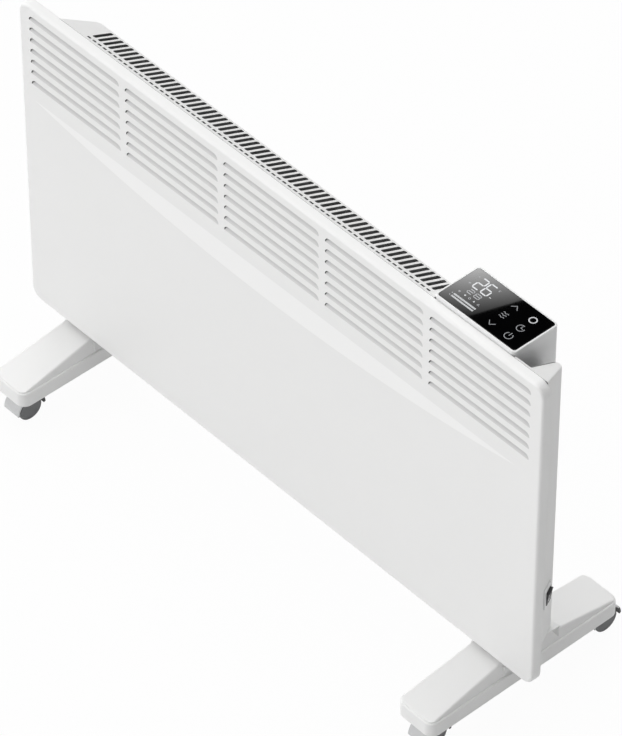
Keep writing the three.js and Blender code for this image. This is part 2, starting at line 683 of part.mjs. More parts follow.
function boardPosts() {
  const [reachX, reachY] = [BOARD_WIDTH / 2 - BOARD_POST_INSET, BOARD_DEPTH / 2 - BOARD_POST_INSET];
  const low = HOUSING_BOTTOM + HOUSING_WALL / 2;
  const high = HOUSING_BOTTOM + HOUSING_WALL + BOARD_POST_HEIGHT;
  return [[-1, -1], [1, -1], [1, 1], [-1, 1]].map(([sx, sy]) =>
    uprightBar(BOARD_POST_RADIUS, GLASS_X + sx * reachX, GLASS_Y + sy * reachY, low, high, 10),
  );
}

function controlHousing(material) {
  const body = loft([
    { outline: housingOutline(0), at: HOUSING_BOTTOM },
    { outline: housingOutline(0), at: HOUSING_TOP - HOUSING_EDGE },
    { outline: housingOutline(HOUSING_EDGE * 0.3), at: HOUSING_TOP - HOUSING_EDGE * 0.3 },
    { outline: housingOutline(HOUSING_EDGE), at: HOUSING_TOP },
  ]);
  const glassInset = HOUSING_EDGE + RIM_WIDTH - SEAT_GAP;
  const ledgeInset = HOUSING_EDGE + RIM_WIDTH + HOUSING_LEDGE;
  const room = housingPrism(HOUSING_WALL, HOUSING_BOTTOM + HOUSING_WALL, GLASS_SEAT - HOUSING_WALL);
  const mouth = housingPrism(ledgeInset, HOUSING_BOTTOM + 2 * HOUSING_WALL, HOUSING_TOP + OVERCUT);
  const rebate = housingPrism(glassInset, GLASS_SEAT, HOUSING_TOP + OVERCUT);
  const cable = uprightBar(HOUSING_CABLE_RADIUS, GLASS_X, GLASS_FRONT + HOUSING_DEPTH / 4,
    HOUSING_BOTTOM - OVERCUT, HOUSING_BOTTOM + 2 * HOUSING_WALL);
  const shell = solid(body)
    .subtract(solid(room))
    .subtract(solid(mouth))
    .subtract(solid(rebate))
    .subtract(solid(cable))
    .add(solid(...boardPosts()));
  return piece('control_housing', geometryOf(shell), material);
}

function touchGlass(material) {
  const shape = roundedRectangle(GLASS_WIDTH, GLASS_DEPTH, GLASS_CORNER, GLASS_X, GLASS_Y);
  return piece('touch_glass', uprightPrism(shape, GLASS_TOP - GLASS_THICKNESS, GLASS_TOP), material);
}

function controlBoard(material) {
  const low = HOUSING_BOTTOM + HOUSING_WALL + BOARD_POST_HEIGHT + SEAT_GAP;
  const top = low + BOARD_THICKNESS;
  const board = blockOn([BOARD_WIDTH, BOARD_DEPTH, BOARD_THICKNESS], GLASS_X, GLASS_Y, low);
  const display = blockOn(DISPLAY_BLOCK, GLASS_X - BOARD_WIDTH / 6, GLASS_Y, top - 0.5);
  const plug = blockOn(PLUG_BLOCK, GLASS_X, GLASS_Y, low + 0.5 - PLUG_BLOCK[2]);
  return piece('control_board', geometryOf(solid(board).add(solid(display)).add(solid(plug))), material);
}

// ---------------------------------------------------------------- heating element and its brackets

/** The bar's section, in (y, z): four arms that run out diagonally from a hub. */
function elementSection() {
  const angle = Math.atan2(ELEMENT_ARM_HEIGHT, ELEMENT_ARM_DEPTH);
  const reach = Math.hypot(ELEMENT_ARM_HEIGHT, ELEMENT_ARM_DEPTH);
  const half = ELEMENT_ARM_THICKNESS / 2;
  const points = [];
  for (const [turn, side] of [[angle, 1], [Math.PI - angle, -1], [Math.PI + angle, 1], [-angle, -1]]) {
    const [along, across] = [new THREE.Vector2(Math.cos(turn), Math.sin(turn)), new THREE.Vector2()];
    across.set(-along.y, along.x);
    const root = ELEMENT_HUB_RADIUS;
    const corner = (distance, offset) => [
      ELEMENT_CENTRE_DEPTH + along.x * distance + across.x * offset,
      ELEMENT_HEIGHT + along.y * distance + across.y * offset,
    ];
    points.push(corner(root, -half * 1.6), corner(reach, -half), corner(reach, half), corner(root, half * 1.6));
    const middle = side > 0 ? [0, ELEMENT_HUB_RADIUS] : [-ELEMENT_HUB_RADIUS, 0];
    const sign = Math.sign(along.y) || 1;
    points.push([ELEMENT_CENTRE_DEPTH + middle[0] * sign, ELEMENT_HEIGHT + middle[1] * sign]);
  }
  return polygon(points);
}

function heatingElement(material) {
  const bar = solid(sidePrism(elementSection(), ELEMENT_LEFT, ELEMENT_RIGHT));
  const pins = sideBar(ELEMENT_PIN_RADIUS, ELEMENT_CENTRE_DEPTH, ELEMENT_HEIGHT,
    ELEMENT_LEFT - ELEMENT_PIN_LENGTH, ELEMENT_RIGHT + ELEMENT_PIN_LENGTH);
  const slits = [];
  const pitch = ELEMENT_LENGTH / (ELEMENT_SLITS + 1);
  const [deep, high, keep] = [ELEMENT_ARM_DEPTH + 4, ELEMENT_ARM_HEIGHT + 4, ELEMENT_HUB_RADIUS + 2];
  for (let i = 1; i <= ELEMENT_SLITS; i += 1) {
    const x = ELEMENT_LEFT + i * pitch;
    for (const side of [-1, 1]) {
      const [low, top] = side < 0 ? [-high, -keep] : [keep, high];
      slits.push(block(x - ELEMENT_SLIT / 2, x + ELEMENT_SLIT / 2, ELEMENT_CENTRE_DEPTH - deep,
        ELEMENT_CENTRE_DEPTH + deep, ELEMENT_HEIGHT + low, ELEMENT_HEIGHT + top));
    }
  }
  return piece('heating_element', geometryOf(bar.subtract(solid(...slits)).add(solid(pins))), material);
}

/** An angle bracket on the back wall with a hole for the element's end pin. */
function elementBracket(name, side, material) {
  const inner = (side < 0 ? ELEMENT_LEFT : ELEMENT_RIGHT) + (side * ELEMENT_PIN_LENGTH) / 2;
  const outer = inner + side * BRACKET_PLATE;
  const toe = inner + side * BRACKET_FOOT;
  const back = BACK_WALL_INSIDE - SEAT_GAP;
  const [low, high] = [ELEMENT_HEIGHT - BRACKET_HEIGHT / 2, ELEMENT_HEIGHT + BRACKET_HEIGHT / 2];
  const front = back - BRACKET_WIDTH;
  const web = block(Math.min(inner, outer), Math.max(inner, outer), front, back, low, high);
  const foot = block(Math.min(inner, toe), Math.max(inner, toe), back - BRACKET_PLATE, back, low, high);
  const hole = sideBar(ELEMENT_PIN_RADIUS + SEAT_GAP, ELEMENT_CENTRE_DEPTH, ELEMENT_HEIGHT,
    Math.min(inner, outer) - 1, Math.max(inner, outer) + 1);
  return piece(name, geometryOf(solid(web).add(solid(foot)).subtract(solid(hole))), material);
}

// ---------------------------------------------------------------- small electrical pieces

/** A snap-disc cut-out on a small mounting plate on the back wall, above the element. */
function thermalCutout(material) {
  const [x, z] = CUTOUT_PLACE;
  const [width, height, thickness] = CUTOUT_PLATE;
  const back = BACK_WALL_INSIDE - SEAT_GAP;
  const plate = block(x - width / 2, x + width / 2, back - thickness, back, z - height / 2, z + height / 2);
  const cap = deepBar(CUTOUT_RADIUS, x, z, back - thickness - CUTOUT_HEIGHT, back - thickness / 2, 16);
  const terminals = [-1, 1].map((side) => {
    const centre = x + side * CUTOUT_RADIUS * 0.5;
    const tip = back - thickness - CUTOUT_HEIGHT - 6;
    return block(centre - 2, centre + 2, tip, back - thickness - CUTOUT_HEIGHT + 1, z - 0.5, z + 0.5);
  });
  return piece('thermal_cutout', geometryOf(solid(plate).add(solid(cap)).add(solid(...terminals))), material);
}

/** A round-ended probe on a block that sits on the casing floor, in the stream of cool air. */
function roomSensor(material) {
  const [x, y] = SENSOR_PLACE;
  const low = CASING_FLOOR + CASING_SHEET + SEAT_GAP;
  const axis = low + SENSOR_BASE[2] + SENSOR_RADIUS * 0.7;
  const probe = new THREE.CapsuleGeometry(SENSOR_RADIUS, SENSOR_LENGTH, 3, 12);
  probe.rotateZ(Math.PI / 2).translate(x, y, axis);
  const base = blockOn([SENSOR_BASE[0], SENSOR_BASE[1], SENSOR_BASE[2] + 1], x, y, low);
  return piece('room_sensor', geometryOf(solid(base).add(solid(probe))), material);
}

function terminalBlock(material) {
  const [width, deep, height] = TERMINAL_SIZE;
  const [x, z] = TERMINAL_PLACE;
  const back = BACK_WALL_INSIDE - SEAT_GAP;
  const front = back - deep;
  const body = block(x - width / 2, x + width / 2, front, back, z - height / 2, z + height / 2);
  const wells = [];
  for (let i = 0; i < TERMINAL_WELLS; i += 1) {
    const wellX = x + (i - (TERMINAL_WELLS - 1) / 2) * (width / TERMINAL_WELLS);
    wells.push(deepBar(TERMINAL_WELL_RADIUS, wellX, z, front - 1, front + deep * 0.4, 10));
  }
  return piece('terminal_block', geometryOf(solid(body).subtract(solid(...wells))), material);
}

/** A bush through the back wall: flange and nose outside, a snap ring inside. */
function cordGland(material) {
  const [x, z] = GLAND_PLACE;
  const wall = CASING_SHEET + 2 * SEAT_GAP;
  const profile = [
    [GLAND_BORE, -4],
    [GLAND_RADIUS - 1, -4],
    [GLAND_RADIUS, -wall + SEAT_GAP],
    [GLAND_RADIUS, SEAT_GAP],
    [GLAND_FLANGE_RADIUS, SEAT_GAP],
    [GLAND_FLANGE_RADIUS, SEAT_GAP + GLAND_FLANGE - 1],
    [GLAND_FLANGE_RADIUS - 1, SEAT_GAP + GLAND_FLANGE],
    [GLAND_RADIUS - 1, SEAT_GAP + GLAND_FLANGE],
    [GLAND_RADIUS - 2, GLAND_NOSE],
    [GLAND_BORE, GLAND_NOSE],
    [GLAND_BORE, -4],
  ].map(([r, y]) => new THREE.Vector2(r, y));
  const bush = new THREE.LatheGeometry(profile, 12).translate(x, CASING_BACK, z);
  return piece('cord_gland', geometryOf(solid(bush)), material);
}

// ---------------------------------------------------------------- rocker switch

const SWITCH_TURN = Math.atan2(CASING_RIGHT_TAPER, CASING_DEPTH);

/** Places a piece drawn about the origin, facing +X, on the casing's right-hand end. */
function placeOnEnd(object) {
  object.position.set(casingRightAt(SWITCH_DEPTH), SWITCH_DEPTH, SWITCH_HEIGHT);
  object.rotation.z = SWITCH_TURN;
  return object;
}

function switchOpening() {
  const [halfWidth, halfHeight] = [SWITCH_BODY_WIDTH / 2 + SEAT_GAP, SWITCH_BODY_HEIGHT / 2 + SEAT_GAP];
  const cutter = block(-3 * CASING_SHEET, OVERCUT, -halfWidth, halfWidth, -halfHeight, halfHeight);
  return cutter.rotateZ(SWITCH_TURN).translate(casingRightAt(SWITCH_DEPTH), SWITCH_DEPTH, SWITCH_HEIGHT);
}

function switchFrame(material) {
  const [bezelY, bezelZ] = [SWITCH_BEZEL_WIDTH / 2, SWITCH_BEZEL_HEIGHT / 2];
  const [bodyY, bodyZ] = [SWITCH_BODY_WIDTH / 2, SWITCH_BODY_HEIGHT / 2];
  const [wellY, wellZ] = [SWITCH_WELL_WIDTH / 2, SWITCH_WELL_HEIGHT / 2];
  const face = SEAT_GAP + SWITCH_BEZEL;
  const bezel = loft([
    { outline: outlineOf(roundedRectangle(2 * bezelY, 2 * bezelZ, 1.5), 2), at: SEAT_GAP },
    { outline: outlineOf(roundedRectangle(2 * bezelY, 2 * bezelZ, 1.5), 2), at: face - 0.6 },
    { outline: outlineOf(roundedRectangle(2 * bezelY - 1.2, 2 * bezelZ - 1.2, 0.9), 2), at: face },
  ], ALONG_X);
  const body = block(-SWITCH_BODY_DEPTH, face / 2, -bodyY, bodyY, -bodyZ, bodyZ);
  const well = block(-SWITCH_WELL_DEPTH, face + OVERCUT, -wellY, wellY, -wellZ, wellZ);
  const pin = deepBar(ROCKER_PIN_RADIUS + SEAT_GAP, -ROCKER_PIVOT_DEPTH, 0, -bodyY - 1, bodyY + 1);
  const frame = solid(body).add(solid(bezel)).subtract(solid(well)).subtract(solid(pin));
  return placeOnEnd(piece('switch_frame', geometryOf(frame), material));
}

/** The rocker lies with its lower end pressed in; its outer face is dished. */
function switchRocker(material) {
  const half = SWITCH_WELL_HEIGHT / 2 - ROCKER_END_GAP;
  const face = SEAT_GAP + SWITCH_BEZEL + ROCKER_RISE;
  const profile = new THREE.Shape();
  profile.moveTo(-ROCKER_PIVOT_DEPTH - ROCKER_PIN_RADIUS - 0.6, -half * 0.75);
  profile.lineTo(0, -half);
  profile.lineTo(face, -half + 0.4);
  profile.quadraticCurveTo(face - 2 * ROCKER_DISH, 0, face, half - 0.4);
  profile.lineTo(0, half);
  profile.lineTo(-ROCKER_PIVOT_DEPTH - ROCKER_PIN_RADIUS - 0.6, half * 0.75);
  const side = SWITCH_WELL_WIDTH / 2 - ROCKER_SIDE_GAP;
  const seat = new THREE.Matrix4().makeBasis(X_AXIS, Z_AXIS, Y_AXIS.clone().negate());
  const options = { depth: 2 * side, bevelEnabled: false, curveSegments: 8 };
  const body = new THREE.ExtrudeGeometry(profile, options).applyMatrix4(seat).translate(0, side, 0);
  const reach = SWITCH_BODY_WIDTH / 2 - 0.2;
  const pin = deepBar(ROCKER_PIN_RADIUS, -ROCKER_PIVOT_DEPTH, 0, -reach, reach);
  const rocker = geometryOf(solid(body).add(solid(pin))).translate(ROCKER_PIVOT_DEPTH, 0, 0);
  rocker.rotateY(THREE.MathUtils.degToRad(ROCKER_TILT)).translate(-ROCKER_PIVOT_DEPTH, 0, 0);
  return placeOnEnd(piece('switch_rocker', rocker, material));
}

// ---------------------------------------------------------------- feet

/** The foot's plan, in (x, y), shrunk by an inset. */
function footOutline(inset) {
  const radius = Math.max(FOOT_CORNER - inset, 1);
  return outlineOf(
    roundedRectangle(FOOT_WIDTH - 2 * inset, FOOT_LENGTH - 2 * inset, radius, 0, FOOT_MIDDLE),
  );
}

function footPrism(inset, low, high) {
  return loft([{ outline: footOutline(inset), at: low }, { outline: footOutline(inset), at: high }]);
}

/** The ridge at five depths: where it is, how high it stands and how wide its top is. */
function ridgeStations() {
  const [front, back] = [FOOT_FRONT + FOOT_LEDGE, FOOT_BACK - FOOT_LEDGE];
  const low = FOOT_LEDGE_HEIGHT + 0.6;
  return [
    [front - 1, low, RIDGE_END_HALF_WIDTH],
    [front + RIDGE_END_RUN, RIDGE_END_HEIGHT, RIDGE_END_HALF_WIDTH],
    [RIDGE_CREST_FRONT, FOOT_CREST, RIDGE_CREST_HALF_WIDTH],
    [RIDGE_CREST_BACK, FOOT_CREST, RIDGE_CREST_HALF_WIDTH],
    [back - RIDGE_END_RUN, RIDGE_END_HEIGHT, RIDGE_END_HALF_WIDTH],
    [back + 1, low, RIDGE_END_HALF_WIDTH],
  ];
}

/** One cross-section of the ridge, in (x, z): drafted sides and rounded upper edges. */
function ridgeSection(top, halfWidth, wall) {
  const base = FOOT_LEDGE_HEIGHT - FOOT_WALL;
  const foot = new THREE.Vector2(FOOT_WIDTH / 2 - FOOT_LEDGE - wall, FOOT_LEDGE_HEIGHT - wall);
  const crown = new THREE.Vector2(Math.min(halfWidth - wall, foot.x - 0.2), top - wall);
  const rise = Math.max(crown.y - foot.y, 0.2);
  const round = Math.min(RIDGE_ROUND, 0.45 * rise);
  const down = foot.clone().sub(crown).normalize().multiplyScalar(round).add(crown);
  const along = crown.clone().sub(new THREE.Vector2(round, 0));
  const edge = new THREE.QuadraticBezierCurve(down, crown, along).getPoints(2);
  const right = [new THREE.Vector2(foot.x, base - 1), foot, ...edge];
  const left = right.map((p) => new THREE.Vector2(-p.x, p.y)).reverse();
  return [...right, ...left];
}

function ridgeBody(wall) {
  const stations = ridgeStations();
  const sections = stations.map(([depth, top, halfWidth]) => ({
    outline: ridgeSection(top, halfWidth, wall),
    at: -depth,
  }));
  return loft(sections.reverse(), ALONG_MINUS_Y);
}

function foot(name, x, material) {
  const skirt = loft([
    { outline: footOutline(0), at: FOOT_SKIRT_BOTTOM },
    { outline: footOutline(0), at: FOOT_LEDGE_HEIGHT - FOOT_SKIRT_ROUND },
    { outline: footOutline(FOOT_SKIRT_ROUND), at: FOOT_LEDGE_HEIGHT },
  ]);
  const ridgePlan = footPrism(FOOT_LEDGE, FOOT_SKIRT_BOTTOM, FOOT_CREST + OVERCUT);
  const outside = solid(skirt).add(solid(ridgeBody(0)).intersect(solid(ridgePlan)));
  const hollowPlan = footPrism(FOOT_LEDGE + FOOT_WALL, FOOT_SKIRT_BOTTOM, FOOT_CREST);
  const lower = footPrism(FOOT_WALL, FOOT_SKIRT_BOTTOM - OVERCUT, FOOT_LEDGE_HEIGHT - FOOT_WALL);
  const hollow = solid(lower).add(solid(ridgeBody(FOOT_WALL)).intersect(solid(hollowPlan)));
  const half = FOOT_WIDTH / 2 - FOOT_WALL / 2;
  const ribs = FOOT_RIB_PLACES.map((y) =>
    block(-half, half, y - FOOT_RIB / 2, y + FOOT_RIB / 2, FOOT_RIB_HEIGHT, FOOT_CREST + 1),
  );
  const bossLow = FOOT_SKIRT_BOTTOM + BOSS_RECESS;
  const stems = Object.values(STEM_DEPTHS);
  const bosses = stems.map((y) => uprightBar(BOSS_RADIUS, 0, y, bossLow, FOOT_LEDGE_HEIGHT + 3));
  const bores = stems.map((y) => uprightBar(SOCKET_RADIUS + SEAT_GAP, 0, y, bossLow - OVERCUT,
    SOCKET_HEIGHT + SEAT_GAP));
  const body = outside
    .subtract(hollow)
    .add(solid(...ribs, ...bosses).intersect(outside))
    .subtract(solid(...bores));
  const mesh = piece(name, geometryOf(body), material);
  mesh.position.x = x;
  return mesh;
}

/** A channel under the casing floor with legs that stand, toes inwards, on the foot's crest. */
function footBracket(name, x, material) {
  const top = CASING_FLOOR - SEAT_GAP;
  const bottom = FOOT_CREST + SEAT_GAP;
  const sheet = STAND_SHEET;
  const wing = top - STAND_FLANGE;
  const channel = polygon([
    [STAND_FRONT, bottom],
    [STAND_FRONT + STAND_TOE, bottom],
    [STAND_FRONT + STAND_TOE, bottom + sheet],
    [STAND_FRONT + sheet, bottom + sheet],
    [STAND_FRONT + sheet, top - sheet],
    [STAND_BACK - sheet, top - sheet],
    [STAND_BACK - sheet, bottom + sheet],
    [STAND_BACK - STAND_TOE, bottom + sheet],
    [STAND_BACK - STAND_TOE, bottom],
    [STAND_BACK, bottom],
    [STAND_BACK, top],
    [STAND_FRONT, top],
  ]);
  const [wide, leg] = [STAND_HALF_WIDTH, STAND_LEG_HALF_WIDTH];
  const front = polygon([
    [-leg, bottom - 1],
    [leg, bottom - 1],
    [leg, wing - 8],
    [leg + 8, wing],
    [wide, wing],
    [wide, top + 1],
    [-wide, top + 1],
    [-wide, wing],
    [-leg - 8, wing],
    [-leg, wing - 8],
  ]);
  const blank = solid(sidePrism(channel, -wide, wide)).intersect(
    solid(deepPrism(front, STAND_FRONT - 1, STAND_BACK + 1)),
  );
  const holes = [-1, 1].map((side) =>
    deepBar(STAND_HOLE_RADIUS, side * (wide - STAND_HOLE_INSET), top - STAND_FLANGE / 2,
      STAND_FRONT - 1, STAND_BACK + 1, 12),
  );
  const mesh = piece(name, geometryOf(blank.subtract(solid(...holes))), material);
  mesh.position.x = x;
  return mesh;
}

// ---------------------------------------------------------------- castors

/** A sleeve with a bottom flange, fixed in the foot, that the stem turns in. */
function castorSocket(name, material) {
  const bore = STEM_RADIUS + SEAT_GAP;
  const shoulder = SOCKET_BOTTOM + SOCKET_FLANGE;
  const profile = [
    [0, SOCKET_HEIGHT - SOCKET_TOP],
    [bore, SOCKET_HEIGHT - SOCKET_TOP],
    [bore, SOCKET_BOTTOM],
    [SOCKET_FLANGE_RADIUS, SOCKET_BOTTOM],
    [SOCKET_FLANGE_RADIUS, shoulder],
    [SOCKET_RADIUS, shoulder],
    [SOCKET_RADIUS, SOCKET_HEIGHT],
    [0, SOCKET_HEIGHT],
  ].map(([r, z]) => new THREE.Vector2(r, z));
  return piece(name, new THREE.LatheGeometry(profile, 12).rotateX(Math.PI / 2), material);
}

function castorStem(name, material) {
  const bar = uprightBar(STEM_RADIUS, 0, 0, COLLAR_TOP - STEM_COLLAR_DEPTH, STEM_TOP);
  return piece(name, bar, material);
}

/** The hood, drawn in (y, z) about the axle: an arch, a web between the wheels and a stem collar. */
function castorHood(name, material) {
  const axle = [CASTOR_TRAIL, WHEEL_RADIUS];
  const dip = Math.asin(HOOD_LIP / HOOD_RADIUS);
  const arch = new THREE.Shape();
  arch.absarc(...axle, HOOD_RADIUS, -dip, Math.PI + dip, false);
  arch.absarc(...axle, HOOD_RADIUS - HOOD_WALL, Math.PI + dip, -dip, true);
  const web = new THREE.Shape();
  web.absarc(...axle, HOOD_RADIUS - HOOD_WALL / 2, 0, Math.PI, false);
  const half = HOOD_WIDTH / 2;
  const collarLow = COLLAR_TOP - COLLAR_HEIGHT;
  const bore = uprightBar(STEM_RADIUS + SEAT_GAP, 0, 0, COLLAR_TOP - STEM_COLLAR_DEPTH - SEAT_GAP,
    COLLAR_TOP + 1);
  const body = solid(sidePrism(arch, -half, half, HOOD_SEGMENTS))
    .add(solid(sidePrism(web, -WEB_WIDTH / 2, WEB_WIDTH / 2, HOOD_SEGMENTS)))
    .add(solid(sideBar(WEB_HUB_RADIUS, ...axle, -WEB_WIDTH / 2, WEB_WIDTH / 2)))
    .add(solid(uprightBar(COLLAR_RADIUS, 0, 0, collarLow, COLLAR_TOP)))
    .subtract(solid(bore))
    .subtract(solid(sideBar(AXLE_RADIUS + SEAT_GAP, ...axle, -half, half)));
  return piece(name, geometryOf(body), material);
}

/** A wheel, turned about X: a rounded tread, a dished outer face and a plain bore. */
function castorWheel(name, side, material) {
  const rim = WHEEL_RADIUS / Math.cos(Math.PI / WHEEL_FACETS); // corners, so that the flats roll on the floor
  const near = WEB_WIDTH / 2 + WHEEL_TO_WEB;
  const far = near + WHEEL_WIDTH;
  const bore = AXLE_RADIUS + SEAT_GAP;
  const profile = [
    [bore, near],
    [rim - WHEEL_ROUND, near],
    [rim, near + WHEEL_ROUND],
    [rim, far - WHEEL_ROUND],
    [rim - WHEEL_ROUND, far],
    [rim - WHEEL_RIM, far],
    [rim - WHEEL_RIM - WHEEL_DISH, far - WHEEL_DISH],
    [bore, far - WHEEL_DISH],
    [bore, near],
  ].map(([r, a]) => new THREE.Vector2(r, a));
  const wheel = new THREE.LatheGeometry(profile, WHEEL_FACETS, Math.PI / WHEEL_FACETS);
  wheel.rotateZ(-side * Math.PI / 2).translate(0, CASTOR_TRAIL, WHEEL_RADIUS);
  return piece(name, geometryOf(solid(wheel)), material);
}

function castorAxle(name, material) {
  const reach = WEB_WIDTH / 2 + WHEEL_TO_WEB + WHEEL_WIDTH - WHEEL_DISH - AXLE_INSET;
  return piece(name, sideBar(AXLE_RADIUS, CASTOR_TRAIL, WHEEL_RADIUS, -reach, reach), material);
}

/** One castor, standing at the foot of its swivel axis. */
function castor(place, x, y, paint) {
  const group = new THREE.Group();
  group.position.set(x, y, 0);
  group.add(castorSocket(`castor_socket_${place}`, paint.socket));
  group.add(castorStem(`castor_stem_${place}`, paint.steel));
  group.add(castorHood(`castor_hood_${place}`, paint.hood));
  group.add(castorAxle(`castor_axle_${place}`, paint.steel));
  group.add(castorWheel(`castor_wheel_a_${place}`, -1, paint.wheel));
  group.add(castorWheel(`castor_wheel_b_${place}`, 1, paint.wheel));
  return group;
}

// ---------------------------------------------------------------- the heater

function paint(color, roughness, metalness = 0) {
  return new THREE.MeshStandardMaterial({ color, roughness, metalness });
}

const PAINTS = {
  panel: paint(0xf3f3f1, 0.42),
  casing: paint(0xefefed, 0.48),
  housing: paint(0xf1f1ef, 0.35),
  glass: paint(0x060607, 0.06),
  board: paint(0x1d5a34, 0.55),
  aluminium: paint(0xb9bcc0, 0.38, 1),
  galvanised: paint(0xa9adb0, 0.45, 1),
  steel: paint(0xb4b6b8, 0.3, 1),
  ceramic: paint(0xe2ddd0, 0.6),
  sensor: paint(0x3a3d40, 0.5),
  black: paint(0x141415, 0.45),
  foot: paint(0xededeb, 0.45),
  stand: paint(0xf0f0ee, 0.45),
  hood: paint(0xdedfdf, 0.4),
  wheel: paint(0x55575a, 0.6),
  socket: paint(0x8b8e91, 0.5),
};

function makeHeater() {
  const heater = new THREE.Group();
  heater.add(frontPanel(PAINTS.panel));
  heater.add(rearCasing(PAINTS.casing));
  heater.add(controlHousing(PAINTS.housing));
  heater.add(touchGlass(PAINTS.glass));
  heater.add(controlBoard(PAINTS.board));
  heater.add(heatingElement(PAINTS.aluminium));
  heater.add(elementBracket('element_bracket_left', -1, PAINTS.galvanised));
  heater.add(elementBracket('element_bracket_right', 1, PAINTS.galvanised));
  heater.add(thermalCutout(PAINTS.ceramic));
  heater.add(roomSensor(PAINTS.sensor));
  heater.add(terminalBlock(PAINTS.ceramic));
  heater.add(cordGland(PAINTS.black));
  heater.add(switchFrame(PAINTS.black));
  heater.add(switchRocker(PAINTS.black));
  for (const [side, x] of [['left', -FOOT_X], ['right', FOOT_X]]) {
    heater.add(foot(`foot_${side}`, x, PAINTS.foot));
    heater.add(footBracket(`foot_bracket_${side}`, x, PAINTS.stand));
    for (const [end, y] of Object.entries(STEM_DEPTHS)) heater.add(castor(`${end}_${side}`, x, y, PAINTS));
  }
  heater.position.y = -OUTLINE_CENTRE;
  return heater;
}

const model = new THREE.Group();
model.add(makeHeater());

export default model;
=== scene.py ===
# %% [markdown]
# # A panel convector heater on castor feet
#
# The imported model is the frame: it fixes every size and every axis. This lesson dresses it. Pressed
# sheet gets its bend radii, mouldings get their rounded edges, the glass gets its display, and each
# surface gets a finish of its own. Every new piece is tied to the body that it moves with.

# %% Load the frame
import bpy
import bmesh
import json
import math
from mathutils import Matrix, Vector

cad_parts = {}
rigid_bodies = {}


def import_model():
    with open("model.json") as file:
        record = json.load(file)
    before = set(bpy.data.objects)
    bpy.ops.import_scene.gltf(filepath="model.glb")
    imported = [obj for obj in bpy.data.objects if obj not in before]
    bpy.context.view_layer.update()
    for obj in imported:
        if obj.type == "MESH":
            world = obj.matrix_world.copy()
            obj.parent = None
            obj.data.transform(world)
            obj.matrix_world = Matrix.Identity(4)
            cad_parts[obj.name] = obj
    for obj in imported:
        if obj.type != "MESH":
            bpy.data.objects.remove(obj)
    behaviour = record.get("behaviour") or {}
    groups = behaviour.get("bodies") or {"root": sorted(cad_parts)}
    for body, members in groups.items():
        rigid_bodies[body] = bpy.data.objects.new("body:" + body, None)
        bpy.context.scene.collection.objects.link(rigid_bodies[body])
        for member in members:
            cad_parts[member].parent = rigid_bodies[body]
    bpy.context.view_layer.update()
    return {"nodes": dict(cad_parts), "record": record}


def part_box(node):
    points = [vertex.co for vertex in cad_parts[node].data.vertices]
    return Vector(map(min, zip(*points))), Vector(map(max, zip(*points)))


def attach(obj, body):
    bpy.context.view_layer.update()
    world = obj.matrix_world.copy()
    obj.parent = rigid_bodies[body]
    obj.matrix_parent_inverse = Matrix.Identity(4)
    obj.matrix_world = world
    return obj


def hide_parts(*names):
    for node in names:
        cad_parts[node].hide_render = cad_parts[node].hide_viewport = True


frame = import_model()
scene = bpy.context.scene

# %% [markdown]
# ## Sizes
#
# The shapes are worked out in millimetres, in the way a drawing of the heater gives them: x counts from
# the middle, y is the depth behind the flat face of the front panel, and z is the height above the floor.
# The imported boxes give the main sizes, so the pieces follow the frame. A finished mesh is scaled to metres
# and moved to the frame's origin in one go, and its object stays at the origin.

# %% Sizes from the frame
def box_mm(node):
    low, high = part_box(node)
    return low * 1000, high * 1000


PANEL_DEPTH = 12
panel_low, panel_high = box_mm("front_panel")
FACE_Y = panel_high.y - PANEL_DEPTH  # the panel's face, in the frame's own y
TO_FRAME = Matrix.Scale(0.001, 4) @ Matrix.Translation((0, FACE_Y, 0))
HALF_WIDTH = panel_high.x
PANEL_BOTTOM, PANEL_TOP = panel_low.z, panel_high.z
PANEL_MIDDLE = (PANEL_BOTTOM + PANEL_TOP) / 2
print("panel:", round(2 * HALF_WIDTH), "x", round(PANEL_TOP - PANEL_BOTTOM), "mm")
print("its face is at y", round(FACE_Y, 2))

# %% [markdown]
# ## Shader maths
#
# A socket is wrapped so that a pattern can be written as an expression. Every other node comes from
# one method, which takes the node's type, its settings, and the values or links of its sockets. The same
# method serves the world, which has nodes but no finish.

# %% Shader helper
class Value:
    """A socket that can be used in an expression on numbers."""

    def __init__(self, nodes, socket):
        self.nodes = nodes
        self.socket = socket

    def maths(self, operation, *operands):
        return self.nodes.node("ShaderNodeMath", {"operation": operation}, dict(enumerate(operands)))

    def __add__(self, other):
        return self.maths("ADD", self, other)

    def __radd__(self, other):
        return self.maths("ADD", other, self)

    def __sub__(self, other):
        return self.maths("SUBTRACT", self, other)

    def __rsub__(self, other):
        return self.maths("SUBTRACT", other, self)

    def __mul__(self, other):
        return self.maths("MULTIPLY", self, other)

    def __rmul__(self, other):
        return self.maths("MULTIPLY", other, self)


class Nodes:
    """A node tree, and the one way to add a node to it."""

    def __init__(self, tree):
        self.tree = tree

    def put(self, socket, value):
        if isinstance(value, Value):
            self.tree.links.new(value.socket, socket)
        elif socket.type == "RGBA" and len(value) == 3:
            socket.default_value = (*value, 1)
        else:
            socket.default_value = value

    def node(self, kind, settings=None, sockets=None, output=0):
        made = self.tree.nodes.new(kind)
        for setting, value in (settings or {}).items():
            setattr(made, setting, value)
        for key, value in (sockets or {}).items():
            self.put(made.inputs[key], value)
        return Value(self, made.outputs[output])


